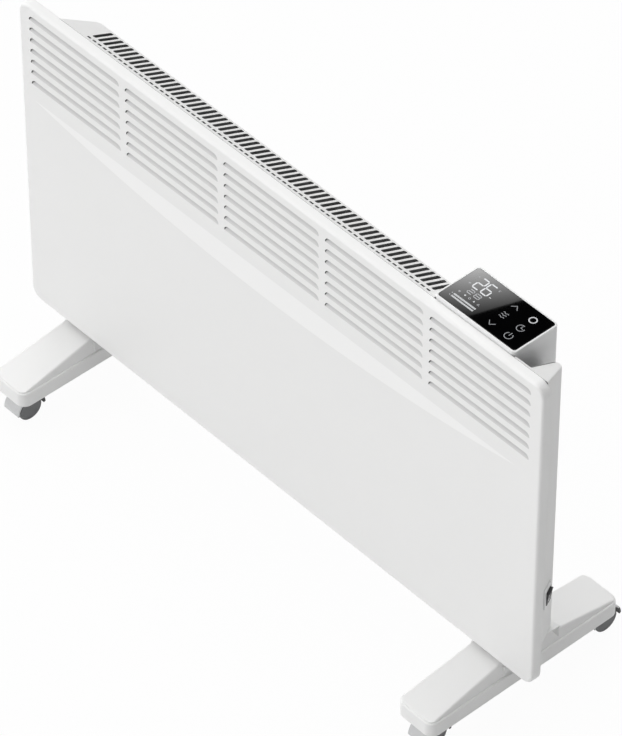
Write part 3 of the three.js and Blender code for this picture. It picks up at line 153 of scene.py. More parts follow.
class Finish(Nodes):
    """A material and its nodes. Object coordinates are in metres, in the frame of the heater."""

    def __init__(self, name):
        self.material = bpy.data.materials.new(name)
        self.material.use_nodes = True
        super().__init__(self.material.node_tree)
        self.shader = self.tree.nodes["Principled BSDF"]
        self.place = self.node("ShaderNodeTexCoord", output="Object")

    def set(self, **sockets):
        for name, value in sockets.items():
            self.put(self.shader.inputs[name.replace("_", " ")], value)
        return self

    def noise(self, scale, detail=2.0):
        return self.node("ShaderNodeTexNoise", {}, {"Vector": self.place, "Scale": scale, "Detail": detail})

    def blend(self, share, first, second):
        sockets = {0: share, 6: first, 7: second}
        return self.node("ShaderNodeMix", {"data_type": "RGBA"}, sockets, output=2)

    def bump(self, height, distance):
        return self.node("ShaderNodeBump", {}, {"Height": height, "Distance": distance, "Strength": 1.0})


def tinted(colour, share):
    return tuple(min(1.0, c * share) for c in colour)


# %% [markdown]
# ## Finishes
#
# The heater is almost all white, so its finishes differ in what light shows of them. Powder enamel has the
# faint waves of orange peel. Moulded plastic has a fine spark-eroded grain and is a little warmer or
# cooler. Each has a slow drift of colour and gloss that keeps a large plain face from looking drawn.

# %% Painted and moulded finishes
CASING_SHADE_GREY = (0.18, 0.181, 0.184)  # painted shade: grey on the casing's inward faces and slot walls, where shade falls
PANEL_SHADE_DARK = (0.03, 0.03, 0.031)  # painted shade: near black on the back of the front panel's sheet and on the cut ends of its slots
FACET_HIGHLIGHT_WHITE = (0.93, 0.93, 0.925)  # painted highlight: a lighter white on the crease's sloping face, which tilts up towards the light


def grained(name, colour, roughness, grain, depth, drift=0.012, patch=9.0, lining=None, **more):
    """A coat or a moulding: slow drift in colour and gloss over a fine grain.

    With a shade colour, two attributes on the mesh say where shade is painted on a sheet and where a
    highlight is painted on the crease."""
    finish = Finish(name)
    slow = finish.noise(patch, 3.0)
    fine = finish.noise(grain, 2.0)
    base = finish.blend(slow, tinted(colour, 1 - drift), tinted(colour, 1 + drift))
    if lining:
        # painted shade: the shade colour where the mesh marks shade
        shade_share = finish.node("ShaderNodeAttribute", {"attribute_name": "painted_shade"}, output="Fac")
        base = finish.blend(shade_share, base, lining)
        # painted highlight: a lighter white on the crease's sloping face
        facet_highlight = finish.node("ShaderNodeAttribute", {"attribute_name": "facet_highlight"}, output="Fac")
        base = finish.blend(facet_highlight, base, FACET_HIGHLIGHT_WHITE)
    gloss = roughness + (slow - 0.5) * 0.10 + (fine - 0.5) * 0.05
    return finish.set(Base_Color=base, Roughness=gloss, Normal=finish.bump(fine, depth), **more)


COATS = {  # colour, roughness, scale and depth of the grain, drift of colour, scale of the drift
    "panel_enamel": ((0.86, 0.86, 0.855), 0.44, 620, 0.00004),
    "casing_enamel": ((0.84, 0.84, 0.835), 0.5, 620, 0.00005),
    "bracket_enamel": ((0.83, 0.83, 0.825), 0.46, 700, 0.00004),
    "white_plastic": ((0.83, 0.835, 0.835), 0.36, 1500, 0.00002),
    "foot_plastic": ((0.85, 0.85, 0.845), 0.42, 1400, 0.00003),
    "hood_plastic": ((0.62, 0.625, 0.63), 0.38, 1500, 0.00002),
    "socket_plastic": ((0.26, 0.265, 0.27), 0.5, 1500, 0.00002),
    "wheel_rubber": ((0.2, 0.203, 0.207), 0.62, 1100, 0.00006, 0.08, 60),
    "black_plastic": ((0.012, 0.012, 0.013), 0.42, 1500, 0.00003, 0.2, 80),
    "rocker_plastic": ((0.04, 0.04, 0.042), 0.3, 1500, 0.00002, 0.2, 80),
    "dark_plastic": ((0.045, 0.05, 0.055), 0.5, 1500, 0.00003, 0.1, 80),
    "ceramic": ((0.72, 0.67, 0.58), 0.55, 900, 0.00005, 0.04, 90),
    "bright_steel": ((0.62, 0.63, 0.64), 0.28, 2400, 0.00002, 0.05, 120),
}
# The panel and casing coats carry painted shade, and the panel's coat also carries a painted highlight on the
# crease.
EXTRAS = {
    "panel_enamel": {"lining": PANEL_SHADE_DARK, "Coat_Weight": 0.15, "Coat_Roughness": 0.25},
    "casing_enamel": {"lining": CASING_SHADE_GREY},
    "bright_steel": {"Metallic": 1.0},
}
FINISHES = {name: grained(name, *values, **EXTRAS.get(name, {})) for name, values in COATS.items()}
print("finishes:", len(FINISHES))

# %% [markdown]
# Galvanised sheet shows zinc crystals, drawn aluminium has fine lines along its length, and a circuit
# board is green lacquer over copper tracks. None of them shows much from outside, but each can be
# seen through a slot.

# %% Metal and board finishes
def zinc_finish():
    finish = Finish("zinc_sheet")
    cells = finish.node("ShaderNodeTexVoronoi", {"feature": "F1"}, {"Vector": finish.place, "Scale": 260.0},
                        output="Color")
    share = finish.node("ShaderNodeSeparateColor", {}, {"Color": cells}, output="Red")
    base = finish.blend(share, (0.42, 0.44, 0.46), (0.60, 0.62, 0.64))
    return finish.set(Base_Color=base, Roughness=0.34 + share * 0.2, Metallic=1.0,
                      Normal=finish.bump(share, 0.00003))


def aluminium_finish():
    finish = Finish("element_aluminium")
    lengthways = finish.node("ShaderNodeMapping", {}, {"Vector": finish.place, "Scale": (6.0, 900.0, 900.0)})
    lines = finish.node("ShaderNodeTexNoise", {}, {"Vector": lengthways, "Scale": 1.0, "Detail": 3.0})
    base = finish.blend(lines, (0.60, 0.61, 0.63), (0.74, 0.75, 0.77))
    return finish.set(Base_Color=base, Roughness=0.3 + lines * 0.2, Metallic=1.0,
                      Normal=finish.bump(lines, 0.00004))


def board_finish():
    finish = Finish("circuit_board")
    tracks = finish.node("ShaderNodeTexBrick", {"offset": 0.5}, {
        "Vector": finish.place, "Scale": 110.0, "Mortar Size": 0.012,
        "Color1": (0.012, 0.09, 0.035), "Color2": (0.016, 0.11, 0.045), "Mortar": (0.05, 0.19, 0.08)})
    grain = finish.noise(900)
    return finish.set(Base_Color=tracks, Roughness=0.42 + grain * 0.1, Normal=finish.bump(grain, 0.00003))


FINISHES["zinc_sheet"] = zinc_finish()
FINISHES["element_aluminium"] = aluminium_finish()
FINISHES["circuit_board"] = board_finish()

# %% [markdown]
# The touch panel is black glass: printed black behind, so only its front face reflects. Its faint ripple
# and the slight haze of a handled surface are what tell it from polished plastic.

# %% Glass and lit marks
def glass_finish():
    finish = Finish("black_glass")
    haze = finish.noise(40, 3.0)
    base = finish.blend(haze, (0.0008, 0.0008, 0.0009), (0.0016, 0.0016, 0.0018))
    return finish.set(Base_Color=base, Roughness=0.03 + haze * 0.03, IOR=1.45, Specular_IOR_Level=0.35,
                      Normal=finish.bump(finish.noise(18, 1.0), 0.00002))


def mark_finish(name, colour, strength):
    """Print that is lit from behind: its glow is a little uneven."""
    finish = Finish(name)
    glow = finish.blend(finish.noise(900, 2.0), tinted(colour, 0.82), colour)
    return finish.set(Base_Color=tinted(colour, 0.35), Emission_Color=glow, Emission_Strength=strength,
                      Roughness=0.5)


FINISHES["black_glass"] = glass_finish()
MARK_BRIGHT = mark_finish("mark_bright", (0.86, 0.88, 0.9), 0.6)
MARK_RING = mark_finish("mark_ring", (0.7, 0.71, 0.73), 0.45)
MARK_DIM = mark_finish("mark_dim", (0.5, 0.51, 0.53), 0.6)
MARK_KEY = mark_finish("mark_key", (0.36, 0.37, 0.39), 0.32)

# %% Finish the frame's own nodes
slot_of = {part["node"]: part["material_slot"] for part in frame["record"]["subparts"]}
for name, node in frame["nodes"].items():
    finish = FINISHES.get(slot_of.get(name), FINISHES["casing_enamel"])
    node.data.materials.clear()
    node.data.materials.append(finish.material)
print("finished nodes:", len(frame["nodes"]))
print("without a slot:", [name for name in frame["nodes"] if name not in slot_of])

# %% [markdown]
# ## Modelling helpers
#
# Each piece starts as a block, a face or a turned profile and is shaped by bmesh operators. A Boolean
# modifier joins and cuts closed shapes. Wide bevels on plain sheet need care: their soft normals would
# smear over the flat faces, so a Weighted Normal modifier lets the large faces decide.

# %% Blocks, edges and bevels
def slab(bm, x, y, z):
    """A block between two values on each axis."""
    low, high = Vector([min(p) for p in (x, y, z)]), Vector([max(p) for p in (x, y, z)])
    place = Matrix.Translation((low + high) / 2) @ Matrix.Diagonal((*(high - low), 1))
    return bmesh.ops.create_cube(bm, size=1, matrix=place)["verts"]


def block(x, y, z):
    bm = bmesh.new()
    slab(bm, x, y, z)
    return bm


def move(bm, matrix):
    bmesh.ops.transform(bm, matrix=matrix, verts=bm.verts)


def soften(bm, geometry, radius, segments=4, affect="EDGES"):
    bmesh.ops.bevel(bm, geom=geometry, offset=radius, offset_type="OFFSET", segments=segments, profile=0.5,
                    affect=affect, clamp_overlap=False, material=-1)


def edges_along(bm, axis, test=None):
    """Edges that run along axis 0, 1 or 2, and whose middle passes a test."""
    found = []
    for edge in bm.edges:
        start, end = edge.verts[0].co, edge.verts[1].co
        run = (end - start).normalized()
        if abs(run[axis]) > 0.9999 and (test is None or test((start + end) / 2)):
            found.append(edge)
    return found


def edges_of_faces(bm, towards, test=None):
    """Edges of the faces that look towards a direction, if their middle passes a test."""
    bm.normal_update()
    faces = [f for f in bm.faces if f.normal.dot(Vector(towards)) > 0.8]
    edges = dict.fromkeys(e for f in faces for e in f.edges if any(g not in faces for g in e.link_faces))
    return [e for e in edges if test is None or test((e.verts[0].co + e.verts[1].co) / 2)]


def sharp_edges(bm, least):
    """Edges between two faces that meet at more than a given angle."""
    return [e for e in bm.edges if e.calc_face_angle(0) > least]


def round_bar(radius, centre, axis, low, high, segments=32, bm=None):
    """A round bar along an axis; centre gives its place on the other two."""
    turn = (Matrix.Rotation(math.pi / 2, 4, "Y"), Matrix.Rotation(math.pi / 2, 4, "X"), Matrix())[axis]
    place = list(centre)
    place.insert(axis, (low + high) / 2)
    bm = bm or bmesh.new()
    bmesh.ops.create_cone(bm, cap_ends=True, segments=segments, radius1=radius, radius2=radius,
                          depth=high - low, matrix=Matrix.Translation(place) @ turn)
    return bm


def turned(bm, points, centre, axis, steps=48, closed=True):
    """Spins a profile of (radius, place along the axis) in a full circle about an axis through centre."""
    along = Vector([float(i == axis) for i in range(3)])
    outwards = Vector((0, 0, 1)) if axis == 0 else Vector((1, 0, 0))
    verts = [bm.verts.new(Vector(centre) + outwards * radius + along * place) for radius, place in points]
    edges = [bm.edges.new(pair) for pair in zip(verts, verts[1:] + verts[:closed])]
    bmesh.ops.spin(bm, geom=verts + edges, cent=centre, axis=along, angle=2 * math.pi, steps=steps,
                   use_merge=True)


def verts_in(geometry):
    return [g for g in geometry if isinstance(g, bmesh.types.BMVert)]


def clean(bm, dist=0.001):
    """Merges doubles and turns the faces outwards."""
    bmesh.ops.remove_doubles(bm, verts=bm.verts, dist=dist)
    bmesh.ops.recalc_face_normals(bm, faces=bm.faces)


# %% Modifiers and joins
def stored(bm, name="part"):
    """Moves what a bmesh holds to a new mesh."""
    mesh = bpy.data.meshes.new(name)
    bm.to_mesh(mesh)
    bm.free()
    return mesh


def evaluated(bm, kind, **settings):
    """Runs one modifier on a bmesh and returns what comes out as a new bmesh."""
    mesh = stored(bm)
    holder = bpy.data.objects.new("work", mesh)
    scene.collection.objects.link(holder)
    modifier = holder.modifiers.new("work", kind)
    for name, value in settings.items():
        setattr(modifier, name, value)
    result = bmesh.new()
    result.from_object(holder, bpy.context.evaluated_depsgraph_get())
    bpy.data.objects.remove(holder)
    bpy.data.meshes.remove(mesh)
    return result


def pour(bm, into):
    """Adds what a bmesh holds to another one."""
    mesh = stored(bm)
    into.from_mesh(mesh)
    bpy.data.meshes.remove(mesh)


def combine(bm, tool, operation="DIFFERENCE"):
    """Cuts a closed bmesh with another one, or joins the two."""
    for part in (bm, tool):
        bmesh.ops.recalc_face_normals(part, faces=part.faces)
    mesh = stored(tool)
    holder = bpy.data.objects.new("tool", mesh)
    scene.collection.objects.link(holder)
    result = evaluated(bm, "BOOLEAN", operation=operation, object=holder, solver="EXACT")
    bpy.data.objects.remove(holder)
    bpy.data.meshes.remove(mesh)
    return result


def note_on_corners(bm, name, share):
    """Writes a number on each face corner for the enamel to read: share(corner, centre, normal)."""
    layer = bm.loops.layers.float.new(name)
    bm.normal_update()
    for face in bm.faces:
        centre = face.calc_center_median()
        for corner in face.loops:
            corner[layer] = share(corner.vert.co, centre, face.normal)


def dress(name, bm, body, slot, replaces=(), finish=None, crisp=32):
    """Turns a bmesh in millimetres into a finished piece of the heater."""
    move(bm, TO_FRAME)
    mesh = stored(bm, name)
    mesh.materials.append((finish or FINISHES[slot]).material)
    mesh.shade_smooth()
    mesh.set_sharp_from_angle(angle=math.radians(crisp))
    made = bpy.data.objects.new(name, mesh)
    scene.collection.objects.link(made)
    even = made.modifiers.new("even normals", "WEIGHTED_NORMAL")
    even.keep_sharp = True
    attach(made, body)
    if replaces:
        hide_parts(*replaces)
    print(name, len(mesh.polygons), "faces")
    return made


# %% [markdown]
# ## Front panel
#
# The real panel is one sheet. Its outline is cut with rounded corners, its border is folded back over a
# small radius and turned in once more behind. A face with bevelled corners gives the outline. Plane cuts
# add the rows and columns of the pressed crease, whose middle row is then moved to the arc. After that
# the border is extruded and bevelled, and the sheet gets its thickness.

# %% Outline and crease
SHEET, CORNER = 1.2, 15.5
EDGE_BEND, LIP = 3.5, 10
CREASE_TOP = PANEL_TOP - 133.4
CREASE_MIDDLE, CREASE_REACH = -8, 386
CREASE_HEIGHT, CREASE_RISE = 30, 2.4
CREASE_FOOT = PANEL_BOTTOM + 8
CREASE_ROW = CREASE_TOP - 15  # where the row is cut that then moves to the arc
CREASE_STEPS = 32


def standing_face(bm, x, z, y=0.0):
    """A rectangle that stands in the plane of the panel and looks to the front."""
    place = Matrix.Translation(((x[0] + x[1]) / 2, y, (z[0] + z[1]) / 2)) \
        @ Matrix.Rotation(math.pi / 2, 4, "X") @ Matrix.Diagonal((x[1] - x[0], z[1] - z[0], 1, 1))
    return bmesh.ops.create_grid(bm, x_segments=1, y_segments=1, size=0.5, matrix=place)["verts"]


def cut_faces(bm, place, normal, test):
    """Cuts the faces whose middle passes a test with a plane."""
    faces = [f for f in bm.faces if test(f.calc_center_median())]
    edges, verts = [e for f in faces for e in f.edges], [v for f in faces for v in f.verts]
    geometry = list(dict.fromkeys(faces + edges + verts))
    bmesh.ops.bisect_plane(bm, geom=geometry, dist=1e-4, plane_co=place, plane_no=normal)


def panel_face():
    bm = bmesh.new()
    corners = standing_face(bm, (-HALF_WIDTH, HALF_WIDTH), (PANEL_BOTTOM, PANEL_TOP))
    soften(bm, corners, CORNER, 10, "VERTICES")
    left, right = CREASE_MIDDLE - CREASE_REACH, CREASE_MIDDLE + CREASE_REACH
    for x in (left, right):
        cut_faces(bm, (x, 0, 0), (1, 0, 0), lambda c: True)
    for z in (CREASE_TOP, CREASE_FOOT, CREASE_ROW):
        cut_faces(bm, (0, 0, z), (0, 0, 1), lambda c: left < c.x < right)
    for i in range(1, CREASE_STEPS):
        x = left + i * (right - left) / CREASE_STEPS
        cut_faces(bm, (x, 0, 0), (1, 0, 0), lambda c: left < c.x < right and CREASE_FOOT < c.z < CREASE_TOP)
    for vertex in bm.verts:
        if abs(vertex.co.z - CREASE_ROW) < 1e-3:
            share = 1 - ((vertex.co.x - CREASE_MIDDLE) / CREASE_REACH) ** 2
            vertex.co = (vertex.co.x, -CREASE_RISE * share, CREASE_TOP - CREASE_HEIGHT * share)
    bmesh.ops.remove_doubles(bm, verts=bm.verts, dist=0.02)
    return bm


# %% Folded border
def fold_border(bm, depth, radius, lip):
    border = [e for e in bm.edges if e.is_boundary]
    sides = bmesh.ops.extrude_edge_only(bm, edges=border)["geom"]
    bmesh.ops.translate(bm, verts=verts_in(sides), vec=(0, depth, 0))
    soften(bm, border, radius, 6)
    rim = [e for e in bm.edges if e.is_boundary]
    back = bmesh.ops.contextual_create(bm, geom=rim)["faces"]
    bmesh.ops.inset_region(bm, faces=back, thickness=lip, use_even_offset=True)
    bmesh.ops.delete(bm, geom=back, context="FACES")
    bmesh.ops.recalc_face_normals(bm, faces=bm.faces)
    return bm


panel = fold_border(panel_face(), PANEL_DEPTH, EDGE_BEND, LIP)
panel = evaluated(panel, "SOLIDIFY", thickness=SHEET, offset=-1, use_even_offset=True)
print("panel sheet:", len(panel.faces), "faces before the louvres")

# %% [markdown]
# Each louvre is sheared on three sides and pushed in about its lower edge, so a slot with round upper
# corners is left, and the tongue leans inwards behind it. One slot and one tongue are drawn and copied
# to the 35 places.

# %% Louvres
LOUVRE_COLUMNS, LOUVRE_ROWS, LOUVRE_MARGIN = 5, 7, 17.9
LOUVRE_SPACE, LOUVRE_HEIGHT, LOUVRE_PITCH = 9.8, 6.8, 15.45
LOUVRE_LENGTH = (2 * (HALF_WIDTH - LOUVRE_MARGIN) - (LOUVRE_COLUMNS - 1) * LOUVRE_SPACE) / LOUVRE_COLUMNS
LOUVRE_FOLD = PANEL_TOP - 18.8  # fold line of the first row
LOUVRE_CORNER, LOUVRE_TILT = 6, math.radians(37)
SHEAR_GAP = 0.3


def louvre_plate(gap, front, back):
    half, top = LOUVRE_LENGTH / 2 - gap, LOUVRE_HEIGHT - gap
    bm = block((-half, half), (front, back), (0, top))
    soften(bm, edges_along(bm, 1, lambda m: m.z > top - 0.01), LOUVRE_CORNER - gap, 6)
    return bm


def at_each_louvre(bm):
    """Copies what the bmesh holds to every louvre's place."""
    first = bm.verts[:] + bm.edges[:] + bm.faces[:]
    for row in range(LOUVRE_ROWS):
        for column in range(LOUVRE_COLUMNS):
            copy = bmesh.ops.duplicate(bm, geom=first)["geom"]
            x = (column - (LOUVRE_COLUMNS - 1) / 2) * (LOUVRE_LENGTH + LOUVRE_SPACE)
            bmesh.ops.translate(bm, verts=verts_in(copy), vec=(x, 0, LOUVRE_FOLD - row * LOUVRE_PITCH))
    bmesh.ops.delete(bm, geom=verts_in(first), context="VERTS")
    return bm


panel = combine(panel, at_each_louvre(louvre_plate(0, -3, SHEET + 1)))
tongue = louvre_plate(SHEAR_GAP, 0, SHEET)
soften(tongue, edges_of_faces(tongue, (0, -1, 0), lambda m: m.z > 0.2), 0.35, 2)
move(tongue, Matrix.Rotation(-LOUVRE_TILT, 4, "X"))
pour(at_each_louvre(tongue), panel)
print("louvres:", LOUVRE_COLUMNS * LOUVRE_ROWS)

# %% [markdown]
# The enamel reads two numbers that are stored on the mesh. One says where shade is painted: near black on the
# back of the sheet and on the cut ends of the slots, and grey on the tongues, darker towards their tips,
# where the sheet above shades them. The other marks the crease's sloping face, which gets a painted
# highlight.

# %% Painted shade and highlight on the panel
# painted shade on the tongues: grey at the fold, darker towards the tip, where the sheet above shades them
TONGUE_SHADE_AT_FOLD, TONGUE_SHADE_TO_TIP, TONGUE_DEPTH = 0.22, 0.19, 4


def panel_painted_shade(corner, centre, normal):
    """Painted shade: near black on the back of the sheet, none on the face, and grey on the tongues, darker
    towards their tips.
    """
    if normal.y > 0.3 and centre.y < PANEL_DEPTH - 2:
        return 1.0
    if LOUVRE_FOLD - LOUVRE_ROWS * LOUVRE_PITCH < centre.z < LOUVRE_FOLD + LOUVRE_HEIGHT + 2:
        if 0.3 < centre.y < 0.9 and abs(normal.y) < 0.1 and abs(normal.x) > 0.3:
            return 1.0  # painted shade on the cut ends of the slots
        # painted shade on the tongues, darker the deeper they lean
        if 0.4 < normal.z < 0.8 and -0.92 < normal.y < -0.5:
            return TONGUE_SHADE_AT_FOLD + TONGUE_SHADE_TO_TIP * min(1.0, max(0.0, corner.y / TONGUE_DEPTH))
    return 0.0


def facet_highlight_mask(corner, centre, normal):
    """Marks the crease's sloping face between its straight line and its arc, where a lighter white is painted
    as a highlight.
    """
    in_crease = CREASE_TOP - CREASE_HEIGHT - 1 < centre.z < CREASE_TOP
    return 1.0 if in_crease and 0.02 < normal.z < 0.2 and normal.y < -0.9 else 0.0


# the painted shade and the painted highlight are stored on the mesh for the enamel
note_on_corners(panel, "painted_shade", panel_painted_shade)
note_on_corners(panel, "facet_highlight", facet_highlight_mask)
dress("panel_sheet", panel, "heater", "panel_enamel", ["front_panel"])

# %% [markdown]
# ## Rear casing
#
# Behind the panel sits a shallow box of the same sheet. Its two ends lean in towards the back, its top
# slopes down, and its mouth has a flange that closes the panel's tray. The top falls away in a round
# shoulder beside the control housing. The box is a block whose corners are moved, its bends are
# bevels, and the sheet's thickness comes from a Solidify modifier once the mouth is open.

# %% Casing body
CASING_FRONT, CASING_DEPTH = PANEL_DEPTH + 0.3, 42
CASING_BACK = CASING_FRONT + CASING_DEPTH
CASING_FLOOR = PANEL_BOTTOM + 39
CASING_LEFT, LEFT_TAPER = -HALF_WIDTH + 55, 18
CASING_RIGHT, RIGHT_TAPER = HALF_WIDTH - 6.5, 20.5
REAR_RIGHT = CASING_RIGHT - RIGHT_TAPER
SLOPE = math.radians(23.3)
SHOULDER, SHOULDER_LIP = 24, 3.2
housing_low, housing_high = box_mm("control_housing")
HOUSING_MIDDLE = (housing_low.x + housing_high.x) / 2


def casing_top_at(depth):
    return PANEL_TOP - math.tan(SLOPE) * (depth - CASING_FRONT)


def casing_block():
    bm = bmesh.new()
    for vertex in slab(bm, (0, 1), (CASING_FRONT, CASING_BACK), (0, 1)):
        x, y, z = vertex.co
        share = (y - CASING_FRONT) / CASING_DEPTH
        side = CASING_RIGHT - RIGHT_TAPER * share if x > 0.5 else CASING_LEFT + LEFT_TAPER * share
        vertex.co = (side, y, casing_top_at(y) if z > 0.5 else CASING_FLOOR)
    soften(bm, edges_along(bm, 2, lambda m: m.y > CASING_BACK - 1), 5, 6)
    for towards in ((0, 0.4, 0.9), (0, 0, -1)):
        soften(bm, edges_of_faces(bm, towards, lambda m: m.y > CASING_FRONT + 0.01), 1.6, 3)
    return bm


def shoulder_tool():
    """What is taken off the sloping top beside the housing: a bar with a hollow quarter round."""
    front, back = -CASING_DEPTH, 2 * CASING_DEPTH
    bm = combine(block((HOUSING_MIDDLE, REAR_RIGHT), (front, back), (-SHOULDER, CASING_DEPTH)),
                 round_bar(SHOULDER, (REAR_RIGHT, -SHOULDER), 1, front - 1, back + 1, 72))
    move(bm, Matrix.Translation((0, CASING_FRONT, PANEL_TOP)) @ Matrix.Rotation(-SLOPE, 4, "X"))
    return combine(bm, block((HOUSING_MIDDLE - 5, REAR_RIGHT + 5),
                             (-2 * CASING_DEPTH, CASING_FRONT + SHOULDER_LIP), (0, 2 * PANEL_TOP)))


casing = combine(casing_block(), shoulder_tool())
mouth = [f for f in casing.faces if all(abs(v.co.y - CASING_FRONT) < 0.01 for v in f.verts)]
bmesh.ops.delete(casing, geom=mouth, context="FACES_ONLY")
casing = evaluated(casing, "SOLIDIFY", thickness=SHEET, offset=-1, use_even_offset=True)
print("casing body:", len(casing.faces), "faces")

# %% Flange and pressed beads
FLANGE_INSET, BEAD_HALF = 1, 7
flange = block((-HALF_WIDTH + FLANGE_INSET, HALF_WIDTH - FLANGE_INSET), (CASING_FRONT, CASING_FRONT + SHEET),
               (PANEL_BOTTOM + FLANGE_INSET, PANEL_TOP - FLANGE_INSET))
soften(flange, edges_along(flange, 1), CORNER - FLANGE_INSET, 10)
opening = block((CASING_LEFT + 0.6, CASING_RIGHT - 0.6), (CASING_FRONT - 5, CASING_FRONT + 5),
                (CASING_FLOOR + 0.6, PANEL_TOP + 5))
casing = combine(casing, combine(flange, opening), "UNION")
beads = bmesh.new()
for height in (165, 330):
    z = PANEL_BOTTOM + height
    bar = slab(beads, (-280, 280), (CASING_BACK - 0.6, CASING_BACK + 1.6), (z - BEAD_HALF, z + BEAD_HALF))
    soften(beads, [e for e in edges_along(beads, 1) if e.verts[0] in bar], BEAD_HALF - 0.1, 8)
soften(beads, edges_of_faces(beads, (0, 1, 0)), 1.5, 4)
casing = combine(casing, beads, "UNION")

# %% [markdown]
# The openings are cut in one go: the outlet slots with a short dash in front of each, the inlet slots in
# the floor, two keyholes for the wall, and the places of the housing, the cable gland and the switch.

# %% Openings in the casing
SLOT_PITCH, SLOT_HALF, SLOT_DEPTHS = 8.57, 2.6, (23.5, 50.6)
DASH_HALF, DASH_DEPTHS = 2.7, (16.3, 19.0)
INLET_PITCH, INLET_HALF, INLET_HALF_WIDTH = 104, 42, 2.5
NOTCH_GAP, GLAND_HOLE = 0.3, 8.3
KEYHOLE_PLACE, KEYHOLE_DROP = 210, 75
GLAND = (REAR_RIGHT - 36, CASING_FLOOR + 33)
SWITCH_DEPTH, SWITCH_HEIGHT = 35, CASING_FLOOR + 67.5
SWITCH_TURN = math.atan2(RIGHT_TAPER, CASING_DEPTH)
SWITCH_PLACE = Matrix.Translation((CASING_RIGHT - RIGHT_TAPER * (SWITCH_DEPTH - CASING_FRONT) / CASING_DEPTH,
                                   SWITCH_DEPTH, SWITCH_HEIGHT)) @ Matrix.Rotation(SWITCH_TURN, 4, "Z")
tools = bmesh.new()


def long_hole(bm, x, y, z):
    """A cutter for a slot with rounded ends that is open upwards and downwards."""
    made = slab(bm, x, y, z)
    radius = 0.36 * min(x[1] - x[0], y[1] - y[0])
    soften(bm, [e for e in edges_along(bm, 2) if e.verts[0] in made], radius, 5)


x, count = CASING_LEFT + 44.8, 0
while x <= housing_low.x - 11:
    long_hole(tools, (x - SLOT_HALF, x + SLOT_HALF), SLOT_DEPTHS, (casing_top_at(50) - 3.6, PANEL_TOP))
    slab(tools, (x - DASH_HALF, x + DASH_HALF), DASH_DEPTHS, (casing_top_at(18.8) - 2.4, PANEL_TOP))
    x += SLOT_PITCH
    count += 1
for depth in (26, 41):
    for column in range(-2, 3):
        middle = column * INLET_PITCH
        across = (depth - INLET_HALF_WIDTH, depth + INLET_HALF_WIDTH)
        long_hole(tools, (middle - INLET_HALF, middle + INLET_HALF), across,
                  (CASING_FLOOR - 2, CASING_FLOOR + 2.4))
THROUGH_BACK = (CASING_BACK - 3, CASING_BACK + 3)
for side in (-1, 1):
    round_bar(5, (side * KEYHOLE_PLACE, PANEL_TOP - KEYHOLE_DROP), 1, *THROUGH_BACK, bm=tools)
slab(tools, (housing_low.x - NOTCH_GAP, housing_high.x + NOTCH_GAP), (PANEL_DEPTH, CASING_BACK + 3),
     (housing_low.z - NOTCH_GAP, PANEL_TOP + 3))
round_bar(GLAND_HOLE, GLAND, 1, *THROUGH_BACK, bm=tools)
opening = slab(tools, (-3.6, 2), (-9.5, 9.5), (-13, 13))
bmesh.ops.transform(tools, matrix=SWITCH_PLACE, verts=opening)
casing = combine(casing, tools)
necks = bmesh.new()
for side in (-1, 1):
    x, top = side * KEYHOLE_PLACE, PANEL_TOP - 60.4
    slab(necks, (x - 2.6, x + 2.6), THROUGH_BACK, (PANEL_TOP - KEYHOLE_DROP, top))
    soften(necks, edges_along(necks, 1, lambda m: m.z > top - 0.6 and abs(m.x - x) < 3), 2.5, 5)
casing = combine(casing, necks)
casing_middle = Vector((20, CASING_FRONT + CASING_DEPTH / 2, PANEL_MIDDLE + 20))


def casing_painted_shade(corner, centre, normal):
    """Painted shade: grey on the walls of the slots and on all that faces inwards."""
    if normal.y > 0.5 and centre.y < CASING_FRONT + SHEET + 0.5:
        return 0.0  # the back of the flange is seen from behind the heater
    slot_wall = 15 < centre.y < CASING_BACK - 3 and centre.z > casing_top_at(centre.y) - 2.2 \
        and abs(normal.z) < 0.25 and centre.x < housing_low.x - 2
    return 1.0 if slot_wall or normal.y < -0.5 or normal.dot(casing_middle - centre) > 0.02 else 0.0


note_on_corners(casing, "painted_shade", casing_painted_shade)
dress("casing_sheet", casing, "heater", "casing_enamel", ["rear_casing"])
print("outlet slots:", count)

# %% [markdown]
# ## Control housing
#
# A moulded box with generous corners drops into a notch of the casing. Its rim stands around the glass,
# which lies in a rebate. Block, corner bevels and a fine top bevel give the outside, and three more blocks
# cut the room, the mouth and the rebate.

# %% Housing
def rounded_box(inset, low, high, radius, segments=8):
    bm = block((housing_low.x + inset, housing_high.x - inset),
               (housing_low.y - FACE_Y + inset, housing_high.y - FACE_Y - inset), (low, high))
    soften(bm, edges_along(bm, 2), radius, segments)
    return bm


glass_low, glass_high = box_mm("touch_glass")
housing = rounded_box(0, housing_low.z, housing_high.z, 5.5)
soften(housing, edges_of_faces(housing, (0, 0, 1)), 0.9, 4)
soften(housing, edges_of_faces(housing, (0, 0, -1)), 0.9, 3)
housing = combine(housing, rounded_box(2, housing_low.z + 2, glass_low.z - 2.3, 3.5))
housing = combine(housing, rounded_box(4.2, housing_low.z + 4, housing_high.z + 2, 1.3, 4))
housing = combine(housing, rounded_box(2.2, glass_low.z - 0.3, housing_high.z + 2, 3.3))
dress("housing_shell", housing, "heater", "white_plastic", ["control_housing"])

# %% Touch glass
GLASS_FACE = glass_high.z - 0.1
glass = block((glass_low.x, glass_high.x), (glass_low.y - FACE_Y, glass_high.y - FACE_Y),
              (glass_low.z, GLASS_FACE))
soften(glass, edges_along(glass, 2), 3, 8)
soften(glass, edges_of_faces(glass, (0, 0, 1)), 0.35, 3)
dress("glass_plate", glass, "heater", "black_glass", ["touch_glass"])

